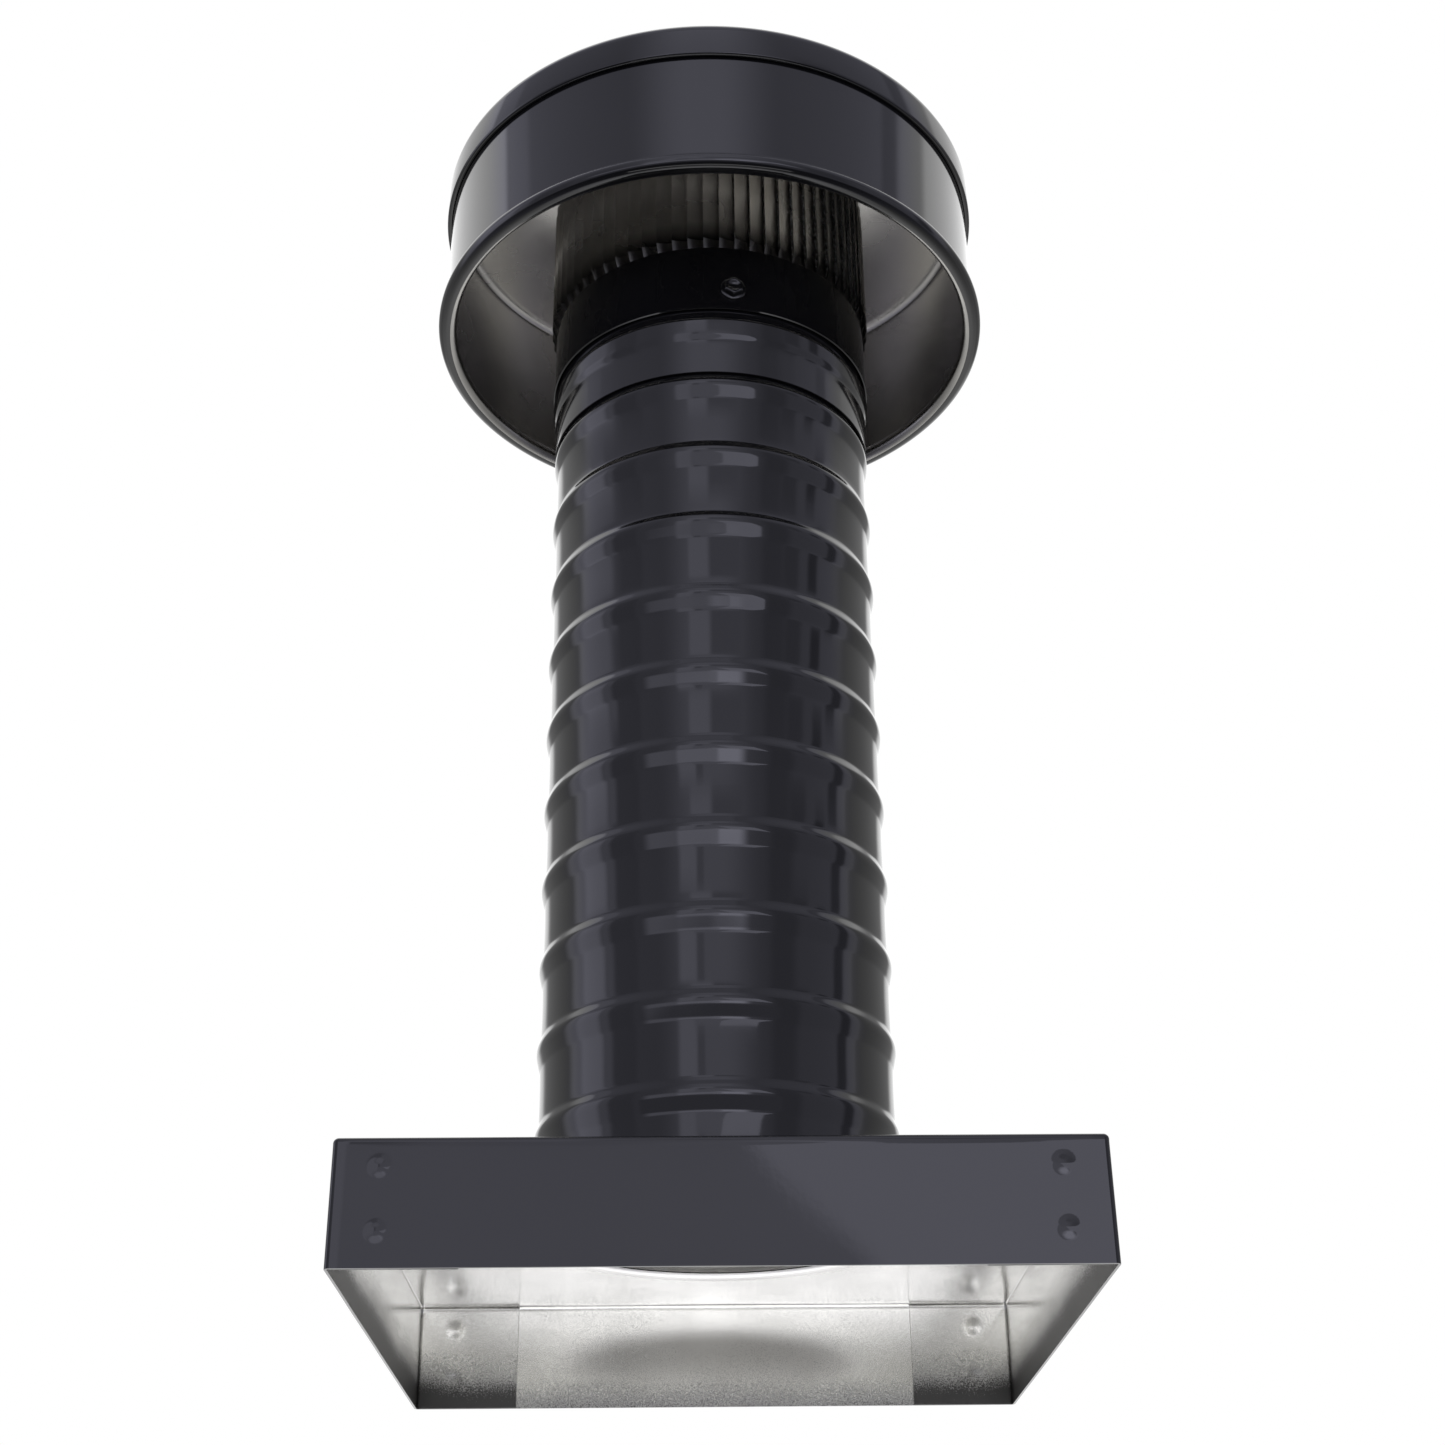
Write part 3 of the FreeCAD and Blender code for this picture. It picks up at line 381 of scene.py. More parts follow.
def skirt_aluminium(corner, sheet_top, tab_width):
    """Bare brushed sheet inside the base, with painted shade along its lower edge and towards its corners.
    """
    finish = Finish("skirt_aluminium", (0.85, 0.84, 0.82), 0.17, 1.0)
    smudges = finish.noise(28.0, 4.0)
    bare = finish.mix_color(finish.ramp(smudges, 0.3, 0.7), (0.76, 0.755, 0.73), (0.88, 0.875, 0.85))
    split = finish.add("ShaderNodeSeparateXYZ")
    finish.join(finish.place, split.inputs[0])
    width = finish.math("ABSOLUTE", split.outputs["X"])
    height = split.outputs["Z"]
    # Painted shade: darker along the lower edge, towards the corners and most on the tabs behind the front
    # and back walls, with speckled edges.
    low_edge = finish.ramp(height, 0.0, sheet_top * 0.30, 0.55, 0.0)
    on_tab = finish.ramp(width, corner - tab_width - 0.1 * MM, corner - tab_width + 0.1 * MM, 0.10, 0.72)
    to_corner = finish.math("ADD", on_tab, finish.ramp(width, corner - 20.0 * MM, corner, 0.0, 0.18))
    low_corner = finish.math("MULTIPLY", to_corner, finish.ramp(height, 0.0, sheet_top * 0.62, 1.45, 0.10))
    drift = finish.ramp(finish.noise(18.0, 2.0), 0.35, 0.65, -0.08, 0.06)
    painted_shade = finish.math("ADD", finish.math("ADD", low_edge, low_corner), drift)
    specks = finish.noise(1700.0, 2.0, roughness=0.7)
    grains = finish.math("ADD", finish.math("MULTIPLY", painted_shade, 0.55), specks)
    shade_share = finish.ramp(grains, 0.55, 1.08, 0.0, 0.94)
    finish.paint_color(finish.mix_color(shade_share, bare, (0.04, 0.039, 0.037)))
    finish.join(finish.ramp(shade_share, 0.0, 1.0, 0.17, 0.5), finish.shader.inputs["Roughness"])
    finish.bump(finish.noise(200.0, 3.0, (8.0, 8.0, 0.3)), 0.0035 * MM, 1.0)
    finish.bump(finish.noise(20.0, 2.0), 0.16 * MM, 0.4)
    return finish.material


def metal(name, color, roughness, grain=90.0, stretch=(1.0, 1.0, 1.0), depth=0.01):
    """Plain metal with mottled tone, uneven gloss and a fine grain."""
    finish = Finish(name, color, roughness, 1.0)
    mottle = finish.noise(grain, 4.0, stretch)
    dark = tuple(0.82 * part for part in color)
    finish.vary_color(finish.ramp(mottle, 0.3, 0.7), dark, color)
    finish.vary_roughness(mottle, 0.75 * roughness, 1.25 * roughness)
    finish.bump(finish.noise(grain * 12.0, 3.0, stretch), depth * MM, 0.5)
    return finish.material


def matt(name, color, roughness, grain=300.0, depth=0.03):
    """Moulded plastic, rubber, ferrite or carbon with a fine skin texture."""
    finish = Finish(name, color, roughness)
    mottle = finish.noise(grain * 0.2, 3.0)
    light = tuple(1.25 * part for part in color)
    finish.vary_color(finish.ramp(mottle, 0.3, 0.7), color, light)
    finish.vary_roughness(mottle, 0.85 * roughness, min(1.15 * roughness, 1.0))
    finish.bump(finish.noise(grain, 3.0), depth * MM, 0.6)
    return finish.material


def panel_glass():
    """Low-iron cover glass with a faintly rolled upper face."""
    finish = Finish("panel_glass", (0.96, 0.98, 0.97), 0.03, IOR=1.5, Transmission_Weight=1.0)
    finish.bump(finish.noise(500.0, 1.0), 0.004 * MM, 0.4)
    return finish.material


def solar_cell(pitch, busbar_offset):
    """Dark blue silicon with thin silver fingers and two busbars on each cell."""
    finish = Finish("solar_cell", (0.01, 0.014, 0.045), 0.25, Coat_Weight=0.6)
    split = finish.add("ShaderNodeSeparateXYZ")
    finish.join(finish.place, split.inputs[0])

    def lines(axis, spacing, shift, width):
        """1 on thin lines of a width, at a spacing along an axis."""
        cycle = finish.math("PINGPONG", finish.math("ADD", split.outputs[axis], shift), spacing / 2)
        return finish.math("LESS_THAN", cycle, width / 2)

    crystal = finish.noise(35.0, 2.0)
    shade = finish.ramp(crystal, 0.35, 0.65)
    silicon = finish.mix_color(shade, (0.007, 0.010, 0.035), (0.012, 0.018, 0.058))
    fingers = lines("Y", 1.9 * MM, 0.0, 0.12 * MM)
    first = lines("X", pitch, pitch / 2 + busbar_offset, 1.4 * MM)
    second = lines("X", pitch, pitch / 2 - busbar_offset, 1.4 * MM)
    silver = finish.math("MAXIMUM", fingers, finish.math("MAXIMUM", first, second))
    finish.paint_color(finish.mix_color(silver, silicon, (0.55, 0.56, 0.57)))
    finish.join(silver, finish.shader.inputs["Metallic"])
    finish.bump(silver, 0.02 * MM, 0.5)
    return finish.material


def backsheet():
    """White polymer film, seen between the cells and under the panel."""
    finish = Finish("backsheet", (0.78, 0.78, 0.77), 0.5)
    finish.vary_color(finish.ramp(finish.noise(20.0), 0.3, 0.7), (0.74, 0.74, 0.73), (0.80, 0.80, 0.79))
    finish.bump(finish.noise(700.0, 2.0), 0.01 * MM, 0.4)
    return finish.material


CELL_PITCH = 38.0 * MM
CELL_WIDTH = 36.0 * MM
BUSBAR_OFFSET = 9.0 * MM

base_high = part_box("curb_base")[1]
BASE_HALF = base_high[0]
BASE_TOP = base_high[2]
TAB_WIDTH = 47.0 * MM

PAINT = black_paint("black_paint", 0.0010 * MM, 0.062)
BASE_PAINT = black_paint("black_paint_peel", 0.0022 * MM, 0.030)
SCREW_PAINT = black_paint("black_paint_satin", 0.0010 * MM, 0.16)
# These three carry painted shade: the bare metal is darkened most at the lower height and least at the
# higher one.
HOOD_METAL = painted_shade_aluminium("hood_aluminium", 503.0 * MM, 590.0 * MM, 0.62, 0.22)
LOUVER_METAL = painted_shade_aluminium("louver_aluminium", 508.0 * MM, 521.0 * MM, 1.0, 0.35)
RAMP_METAL = painted_shade_aluminium("louver_ramp_aluminium", 503.0 * MM, 512.0 * MM, 0.80, 0.70)
ALUMINIUM = bare_aluminium()
# The inside of the base, with painted shade along its lower edge and in its corners.
SKIRT_METAL = skirt_aluminium(BASE_HALF, BASE_TOP, TAB_WIDTH)
SCREEN_WIRE = metal("screen_mesh", (0.42, 0.43, 0.44), 0.38)
ZINC = metal("zinc_steel", (0.66, 0.67, 0.68), 0.30, 140.0)
MOTOR_STEEL = metal("motor_steel", (0.50, 0.51, 0.52), 0.24, 60.0, (6.0, 6.0, 0.6))
BLACK_PLASTIC = matt("black_plastic", (0.020, 0.020, 0.021), 0.42)
BRONZE = metal("bearing_bronze", (0.72, 0.45, 0.22), 0.34)
FERRITE = matt("ferrite", (0.060, 0.057, 0.055), 0.62)
CARBON = matt("carbon", (0.030, 0.030, 0.032), 0.50)
FRAME_ALUMINIUM = metal("frame_aluminium", (0.73, 0.74, 0.75), 0.28, 80.0, (1.0, 1.0, 6.0), 0.006)
GLASS = panel_glass()
SILICON = solar_cell(CELL_PITCH, BUSBAR_OFFSET)
BACKSHEET = backsheet()
RUBBER = matt("seal_rubber", (0.022, 0.022, 0.022), 0.68, 400.0)
LEAD_JACKET = matt("lead_jacket", (0.024, 0.024, 0.025), 0.46, 500.0)


# ---------------------------------------------------------------- curb base
BASE_SHEET = 1.0 * MM
TURNED_RIM = 6.0 * MM
HOLE_GAP = 0.2 * MM
BASE_ROWS = 45
BEND_STEPS = 6
PLATE_STEPS = 8
CORNER_STEPS = 5
TAB_ROWS = 40
TAB_CORNER_GAP = 1.2 * MM
BASE_BEND = 2.0 * MM
CORNER_RADIUS = 2.2 * MM
TAB_GAP = 0.05 * MM
TAB_DROP = 3.0 * MM
TAB_SPRING = 0.8 * MM
CLINCH_INSET = 17.5 * MM
CLINCH_DROPS = (11.5 * MM, 34.5 * MM)
CLINCH_RADIUS = 5.2 * MM
CLINCH_RISE = 0.42 * MM
CLINCH_STEPS = 8
WALL_STEPS = 22
SHEET_WAVE = 0.16 * MM
WAVE_LENGTH = 70.0 * MM


def clinch_lift(east, height):
    """How far the front and back walls stand out at the clinch buttons."""
    lift = 0.0
    for drop in CLINCH_DROPS:
        reach = math.hypot(abs(east) - (BASE_HALF - CLINCH_INSET), height - (BASE_TOP - drop))
        if reach < CLINCH_RADIUS:
            lift = CLINCH_RISE * 0.5 * (1 + math.cos(math.pi * reach / CLINCH_RADIUS))
    return lift


def sheet_wave(point):
    """A shallow waviness of hand-folded sheet."""
    return SHEET_WAVE * noise.noise(Vector(point) / WAVE_LENGTH)


def wall_stations():
    """Places along a wall, closer together where the clinch buttons are."""
    clinch = BASE_HALF - CLINCH_INSET
    edge = BASE_HALF - CORNER_RADIUS
    fine = [clinch + CLINCH_RADIUS * 1.2 * step / CLINCH_STEPS
            for step in range(-CLINCH_STEPS, CLINCH_STEPS + 1)]
    coarse = [(clinch - CLINCH_RADIUS * 1.6) * step / WALL_STEPS for step in range(WALL_STEPS + 1)]
    positive = coarse + fine + [clinch + CLINCH_RADIUS * 1.8, edge]
    return [-place for place in positive[:0:-1]] + positive


def base_outline():
    """Points round the square, each with its outward normal; corners are small arcs."""
    stations = wall_stations()
    points = []
    for quarter in range(4):
        turn = quarter * math.pi / 2
        for place in stations:
            points.append((swing((place, -BASE_HALF, 0.0), turn), swing((0.0, -1.0, 0.0), turn)))
        centre = (BASE_HALF - CORNER_RADIUS, -BASE_HALF + CORNER_RADIUS)
        for step in range(1, CORNER_STEPS):
            angle = math.radians(90.0 * step / CORNER_STEPS - 90.0)
            normal = (math.cos(angle), math.sin(angle), 0.0)
            corner = (centre[0] + CORNER_RADIUS * normal[0], centre[1] + CORNER_RADIUS * normal[1], 0.0)
            points.append((swing(corner, turn), swing(normal, turn)))
    return points


def base_row(outline, inset, height, round_share=0.0, hole_radius=0.0, wavy=True):
    """One loop of the base's skin, pulled in from the outline and, on top, towards the hole."""
    row = []
    for point, normal in outline:
        lift = -inset
        if wavy and height < BASE_TOP - BASE_BEND:
            lift += sheet_wave((point[0], point[1], height))
            if abs(normal[1]) > 0.99:
                lift += clinch_lift(point[0], height)
        east = point[0] + normal[0] * lift
        north = point[1] + normal[1] * lift
        away = math.hypot(east, north)
        reach = (1 - round_share) * away + round_share * hole_radius
        row.append((east * reach / away, north * reach / away, height))
    return row


def base_skin(outline, depth):
    """Rows from the skirt's lower edge up over the bend to the hole, one depth into the sheet."""
    hole_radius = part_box("duct_tube")[1][0] - TURNED_RIM + HOLE_GAP
    bend_height = BASE_TOP - BASE_BEND
    rows = []
    for step in range(BASE_ROWS):
        rows.append(base_row(outline, depth, bend_height * step / BASE_ROWS))
    for step in range(BEND_STEPS + 1):
        angle = math.pi / 2 * step / BEND_STEPS
        radius = BASE_BEND - depth
        rows.append(base_row(outline, depth + radius * (1 - math.cos(angle)),
                             bend_height + radius * math.sin(angle), wavy=step == 0))
    for step in range(1, PLATE_STEPS + 1):
        rows.append(base_row(outline, BASE_BEND, BASE_TOP - depth, step / PLATE_STEPS, hole_radius))
    return rows


def base_tab(shape, side, end):
    """A side wall's tab, folded behind the front or back wall and clinched to it."""
    outer_face = BASE_HALF - BASE_SHEET - TAB_GAP
    near = BASE_HALF - BASE_SHEET - TAB_CORNER_GAP
    stations = [place for place in wall_stations() if BASE_HALF - TAB_WIDTH < place < near]
    stations = [BASE_HALF - TAB_WIDTH] + stations + [near]
    heights = [(BASE_TOP - TAB_DROP) * step / TAB_ROWS for step in range(TAB_ROWS + 1)]
    grids = []
    for depth in (0.0, BASE_SHEET):
        rows = []
        for height in heights:
            row = []
            for place in stations:
                lift = clinch_lift(place, height) + sheet_wave((side * place, end * BASE_HALF, height))
                lift -= TAB_SPRING * (near - place) / TAB_WIDTH
                row.append((side * place, end * (outer_face - depth + lift), height))
            rows.append(row)
        grids.append(rows)
    if side * end > 0:
        grids = [[row[::-1] for row in rows] for rows in grids]
    shape.add_sheet(grids[0], grids[1], INNER)


def curb_base():
    outline = base_outline()
    shape = Shape()
    outer = base_skin(outline, 0.0)
    inner = base_skin(outline, BASE_SHEET)
    sides = [OUTER] * len(outer) + [INNER] * (len(inner) - 1) + [OUTER]
    shape.add_grid(outer + inner[::-1], sides, wrap_rows=True, wrap_columns=True)
    for side in (-1, 1):
        for end in (-1, 1):
            base_tab(shape, side, end)
    make_piece("curb_base_sheet", shape, (BASE_PAINT, SKIRT_METAL), HOUSING,
               ["curb_base"])


# ---------------------------------------------------------------- duct and neck
SHEET = 0.8 * MM
TUBE_RADIUS = 76.2 * MM
BEAD_PITCH = 38.1 * MM
BEAD_COUNT = 10
BEAD_SLOPES = ((-19.0, 0.0), (-9.6, 1.5), (-7.6, 12.5), (-2.6, 12.5), (0.0, 0.0),
               (2.0, -20.0), (4.2, -20.0), (6.2, -1.5), (19.0, 0.0))
WAIST = 0.15 * MM
BEAD_RISE = 1.6 * MM
FIRST_BEAD = 83.9 * MM
FOOT_HEIGHT = 6.5 * MM
FOOT_GAP = 0.2 * MM
FOOT_STEPS = 8
DENT_DEPTH = 0.11 * MM
DENT_LENGTH = 42.0 * MM
FLARE = 1.6 * MM


def duct_tube():
    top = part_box("duct_tube")[1][2]
    plate = BASE_TOP - BASE_SHEET
    path = [(TUBE_RADIUS + TURNED_RIM, plate)]
    path += arc_points((TUBE_RADIUS + FLARE, plate + FLARE), FLARE, 270.0, 180.0, 6)
    for step in range(FOOT_STEPS + 1):
        share = step / FOOT_STEPS
        path.append((TUBE_RADIUS + BEAD_RISE * math.sin(math.pi * share) ** 0.8,
                     BASE_TOP + FOOT_GAP + FOOT_HEIGHT * share))
    for index in range(BEAD_COUNT):
        middle = FIRST_BEAD + index * BEAD_PITCH
        path += bead_points(TUBE_RADIUS - WAIST, middle, BEAD_SLOPES, BEAD_RISE + WAIST)
    path.append((TUBE_RADIUS - WAIST, top))
    shape = Shape()
    turned_sheet(shape, path, SHEET)
    shape.add_dents(DENT_DEPTH, DENT_LENGTH)
    make_piece("duct_tube_sheet", shape, (PAINT, ALUMINIUM), HOUSING, ["duct_tube"])


SLEEVE_RADIUS = 77.8 * MM
SLEEVE_RIDGE = 461.5 * MM
RIDGE_SLOPES = ((-20.0, 0.0), (-12.0, 0.5), (-10.0, 12.0), (-8.4, 12.0), (-7.0, 5.0), (-0.6, 5.0),
                (0.0, 0.0), (1.2, -30.0), (2.2, -30.0), (3.4, 0.0), (12.0, 0.0))


def neck_sleeve():
    low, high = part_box("neck_sleeve")
    path = [(SLEEVE_RADIUS, low[2]), (SLEEVE_RADIUS, low[2] + 4.0 * MM)]
    path += bead_points(SLEEVE_RADIUS, SLEEVE_RIDGE, RIDGE_SLOPES, BEAD_RISE)
    path += [(SLEEVE_RADIUS, high[2])]
    shape = Shape()
    turned_sheet(shape, path, SHEET)
    shape.add_dents(DENT_DEPTH, DENT_LENGTH)
    make_piece("neck_sleeve_sheet", shape, (PAINT, ALUMINIUM), HOUSING, ["neck_sleeve"])


# ---------------------------------------------------------------- louvred ring and its screws
RING_RADIUS = 79.0 * MM
HEM_RISE = 0.6 * MM
HEM_HEIGHT = 1.6 * MM
HEM_SLOPE = 0.3 * MM
RING_BEND = 1.2 * MM
LOUVER_BOTTOM = 505.0 * MM
LOUVER_TOP = 590.0 * MM
LOUVER_COUNT = 66
LOUVER_LIFT = 2.3 * MM
LOUVER_RAMP = 4.6 * MM
LOUVER_CURVE = 1.5
LOUVER_COLUMNS = 6
FLANGE_RADIUS = 70.5 * MM


def louver(shape, turn, pitch):
    """One lanced slat: raised along one edge, ramped shut at its bottom and top."""
    heights = [LOUVER_BOTTOM, LOUVER_BOTTOM + LOUVER_RAMP, LOUVER_TOP - LOUVER_RAMP, LOUVER_TOP]
    ramps = [0.0, 1.0, 1.0, 0.0]
    first = len(shape.sides)
    grids = []
    for depth in (0.0, SHEET):
        rows = []
        for height, ramp in zip(heights, ramps):
            row = []
            for column in range(LOUVER_COLUMNS + 1):
                share = 1 - column / LOUVER_COLUMNS
                radius = RING_RADIUS - depth + LOUVER_LIFT * ramp * share ** LOUVER_CURVE
                angle = turn - pitch * share
                row.append((radius * math.cos(angle), radius * math.sin(angle), height))
            rows.append(row)
        grids.append(rows)
    shape.add_sheet(grids[0], grids[1])
    bare = len(shape.sides) - first - LOUVER_COLUMNS
    shape.sides[first:] = [RAMP] * LOUVER_COLUMNS + [INNER] * bare


def louver_ring():
    low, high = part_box("louver_ring")
    shape = Shape()
    collar = [(RING_RADIUS, low[2]), (RING_RADIUS + HEM_RISE, low[2] + HEM_SLOPE),
              (RING_RADIUS + HEM_RISE, low[2] + HEM_HEIGHT - HEM_SLOPE),
              (RING_RADIUS, low[2] + HEM_HEIGHT), (RING_RADIUS, LOUVER_BOTTOM)]
    turned_sheet(shape, collar, SHEET)
    top = [(RING_RADIUS, LOUVER_TOP), (RING_RADIUS, high[2] - RING_BEND)]
    top += arc_points((RING_RADIUS - RING_BEND, high[2] - RING_BEND), RING_BEND, 0.0, 90.0, 4)
    top += [(FLANGE_RADIUS, high[2])]
    turned_sheet(shape, top, SHEET)
    pitch = math.tau / LOUVER_COUNT
    for turn in around_axis(LOUVER_COUNT):
        louver(shape, turn, pitch)
    make_piece("louver_ring_sheet", shape, (PAINT, LOUVER_METAL, RAMP_METAL), HOUSING,
               ["louver_ring"], 7.0)


SCREW_HEIGHT = 480.0 * MM
COLLAR_SCREWS = 3
FIRST_COLLAR_SCREW = -82.5
HEX_RADIUS = 5.0 * MM
HEX_HEIGHT = 3.6 * MM
WASHER_RADIUS = 6.2 * MM


def hex_screw(shape, turn):
    """A hex washer-head screw with a shallow dish in its head, pointing out from the ring."""
    steps = 48
    rings = [(WASHER_RADIUS - 0.2 * MM, 0.0), (WASHER_RADIUS, 0.25 * MM), (WASHER_RADIUS, 0.7 * MM),
             (WASHER_RADIUS - 0.3 * MM, 0.9 * MM)]
    hex_rings = [(1.0, 0.95 * MM), (1.0, HEX_HEIGHT - 0.5 * MM), (0.93, HEX_HEIGHT)]
    dish_rings = [(2.9 * MM, HEX_HEIGHT), (2.4 * MM, HEX_HEIGHT - 0.6 * MM),
                  (0.4 * MM, HEX_HEIGHT - 0.7 * MM)]
    rows = []
    for kind, group in (("round", rings), ("hex", hex_rings), ("round", dish_rings)):
        for size, out in group:
            row = []
            for step in range(steps):
                angle = math.tau * step / steps
                reach = size
                if kind == "hex":
                    sector = (angle + math.pi / 6) % (math.pi / 3) - math.pi / 6
                    reach = size * HEX_RADIUS * math.cos(math.pi / 6) / math.cos(sector)
                point = (RING_RADIUS + out, reach * math.cos(angle), SCREW_HEIGHT + reach * math.sin(angle))
                row.append(swing(point, turn))
            rows.append(row)
    shape.add_loft(rows)


def collar_screws():
    shape = Shape()
    for turn in around_axis(COLLAR_SCREWS, FIRST_COLLAR_SCREW):
        hex_screw(shape, turn)
    make_piece("collar_screw_heads", shape, (SCREW_PAINT,), HOUSING, ["collar_screws"], 62.0)


# ---------------------------------------------------------------- insect screen
SCREEN_RADIUS = 76.2 * MM
WIRE_HALF = 0.16 * MM
SCREEN_WIRES = 120
SCREEN_HOOPS = 26
SCREEN_MARGIN = 1.0 * MM


def wire(shape, path, across, closed=False):
    """A square wire along a path, with a second direction for its section at each point."""
    rows = []
    for point, (side, out) in zip(path, across):
        rows.append([tuple(Vector(point) + WIRE_HALF * (east * side + north * out))
                     for east, north in ((1, 1), (-1, 1), (-1, -1), (1, -1))])
    shape.add_grid(rows, OUTER, wrap_rows=closed, wrap_columns=True)


def insect_screen():
    """Plain-woven wire: hoops and uprights pass over and under each other."""
    low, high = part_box("insect_screen")
    bottom = low[2] + SCREEN_MARGIN
    span = high[2] - low[2] - 2 * SCREEN_MARGIN
    upward = Vector((0.0, 0.0, 1.0))
    shape = Shape()
    for index, turn in enumerate(around_axis(SCREEN_WIRES)):
        out = Vector((math.cos(turn), math.sin(turn), 0.0))
        side = upward.cross(out)
        path = []
        for step in range(SCREEN_HOOPS + 1):
            weave = WIRE_HALF * (1 if (step + index) % 2 else -1)
            path.append(out * (SCREEN_RADIUS + weave) + upward * (bottom + span * step / SCREEN_HOOPS))
        wire(shape, path, [(side, out)] * len(path))
    for hoop in range(SCREEN_HOOPS + 1):
        path = []
        across = []
        for index, turn in enumerate(around_axis(SCREEN_WIRES)):
            weave = WIRE_HALF * (-1 if (hoop + index) % 2 else 1)
            out = Vector((math.cos(turn), math.sin(turn), 0.0))
            path.append(out * (SCREEN_RADIUS + weave) + upward * (bottom + span * hoop / SCREEN_HOOPS))
            across.append((upward, out))
        wire(shape, path, across, closed=True)
    make_piece("insect_screen_wires", shape, (SCREEN_WIRE,), HOUSING,
               ["insect_screen"], 60.0)


# ---------------------------------------------------------------- hood
BAND_RADIUS = 135.6 * MM
RIM_RADIUS = 134.8 * MM
RIM_HEIGHT = 507.7 * MM
RIM_BEAD = 4.6 * MM
RIM_BLEND = 2.2 * MM
RIM_START = -235.0
LID_SHOULDER = 8.0 * MM
HEM_ROUND = 1.4 * MM
RIM_BARE_SHARE = 0.42
HOOD_DENT_DEPTH = 0.16 * MM
HOOD_DENT_LENGTH = 45.0 * MM


def wind_band():
    """The drum: the rim is curled inwards round a wire, with paint on its whole outside."""
    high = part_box("wind_band")[1][2]
    centre = (RIM_RADIUS, RIM_HEIGHT)
    reach = BAND_RADIUS + RIM_BLEND - RIM_RADIUS
    blend_height = RIM_HEIGHT + math.sqrt((RIM_BEAD + RIM_BLEND) ** 2 - reach ** 2)
    blend_turn = math.degrees(math.atan2(blend_height - RIM_HEIGHT, reach))
    bead = arc_points(centre, RIM_BEAD, RIM_START, blend_turn, 40)
    neck = arc_points((BAND_RADIUS + RIM_BLEND, blend_height), RIM_BLEND, blend_turn + 180.0, 180.0, 5)
    outer = bead + neck + [(BAND_RADIUS, high)]
    inner = [(BAND_RADIUS - SHEET, high), (BAND_RADIUS - SHEET, RIM_HEIGHT + RIM_BEAD)]
    shape = Shape()
    bare = round(len(bead) * RIM_BARE_SHARE)
    sides = [INNER] * bare + [OUTER] * (len(outer) - bare) + [INNER] * len(inner)
    shape.add_lathe(outer + inner, sides, 320)
    shape.add_dents(HOOD_DENT_DEPTH, HOOD_DENT_LENGTH)
    make_piece("wind_band_sheet", shape, (PAINT, HOOD_METAL), HOUSING, ["wind_band"])


def lid():
    """The lid: flat top, round shoulder, straight skirt and a hem turned in towards the drum."""
    low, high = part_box("lid")
    radius = high[0]
    top = high[2]
    path = [(BAND_RADIUS + 0.3 * MM, low[2]), (radius - HEM_ROUND, low[2])]
    path += arc_points((radius - HEM_ROUND, low[2] + HEM_ROUND), HEM_ROUND, -90.0, 0.0, 6)
    path += arc_points((radius - LID_SHOULDER, top - LID_SHOULDER), LID_SHOULDER, 0.0, 90.0, 12)
    path += [(radius * share, top) for share in (0.7, 0.4, 0.15, 0.0)]
    shape = Shape()
    turned_sheet(shape, path, SHEET, 320)
    shape.add_dents(HOOD_DENT_DEPTH, HOOD_DENT_LENGTH)
    make_piece("lid_sheet", shape, (PAINT, HOOD_METAL), HOUSING, ["lid"])


# ---------------------------------------------------------------- propeller
PROP_PLANE = 492.0 * MM
PROP_SHEET = 1.2 * MM
PROP_DISC = 23.0 * MM
PROP_HOLE = 8.05 * MM
BLADE_COUNT = 5
ROOT_RADIUS = 16.0 * MM
TIP_RADIUS = 70.0 * MM
ROOT_CHORD = 17.0 * MM
TIP_CHORD = 46.0 * MM
ROOT_PITCH = 38.0
TIP_PITCH = 24.0
BLADE_CAMBER = 0.05
TIP_SHARE = 0.14


def blade(shape, turn):
    """A pressed blade: twisted, slightly cambered, with round tip corners."""
    spans = 18
    chords = 12
    grids = []
    for depth in (0.5, -0.5):
        rows = []
        for span in range(spans + 1):
            share = span / spans
            radius = ROOT_RADIUS + (TIP_RADIUS - ROOT_RADIUS) * share
            chord = ROOT_CHORD + (TIP_CHORD - ROOT_CHORD) * share ** 1.2
            corner = max(share - 1 + TIP_SHARE, 0.0) / TIP_SHARE
            chord *= math.sqrt(max(1 - 0.75 * corner ** 3, 0.05))
            pitch = math.radians(ROOT_PITCH + (TIP_PITCH - ROOT_PITCH) * share) * min(1.0, 0.25 + share * 6)
            row = []
            for column in range(chords + 1):
                place = column / chords - 0.5
                camber = BLADE_CAMBER * chord * (1 - 4 * place * place)
                along = place * chord
                side = along * math.cos(pitch) - camber * math.sin(pitch)
                rise = along * math.sin(pitch) + camber * math.cos(pitch) + depth * PROP_SHEET
                angle = math.asin(max(-1.0, min(1.0, side / radius)))
                point = (radius * math.cos(angle), radius * math.sin(angle), PROP_PLANE + rise)
                row.append(swing(point, turn))
            rows.append(row)
        grids.append(rows)
    shape.add_sheet([row[::-1] for row in grids[0]], [row[::-1] for row in grids[1]])


def propeller():
    shape = Shape()
    half = PROP_SHEET / 2
    disc = [(PROP_DISC, PROP_PLANE + half), (PROP_HOLE, PROP_PLANE + half),
            (PROP_HOLE, PROP_PLANE - half), (PROP_DISC, PROP_PLANE - half)]
    shape.add_lathe(disc, OUTER, 96)
    for turn in around_axis(BLADE_COUNT):
        blade(shape, turn)
    make_piece("propeller_blades", shape, (ALUMINIUM, ALUMINIUM), ROTOR, ["propeller"])


# ---------------------------------------------------------------- solar panel
FRAME_LIP = 8.0 * MM
FRAME_EDGE = 0.5 * MM
FRAME_WALL = 2.0 * MM
GLASS_RECESS = 0.4 * MM
MITRE_GAP = 0.06 * MM
CELL_CLIP = 4.5 * MM
CELL_PLACES = (-1.5, -0.5, 0.5, 1.5)


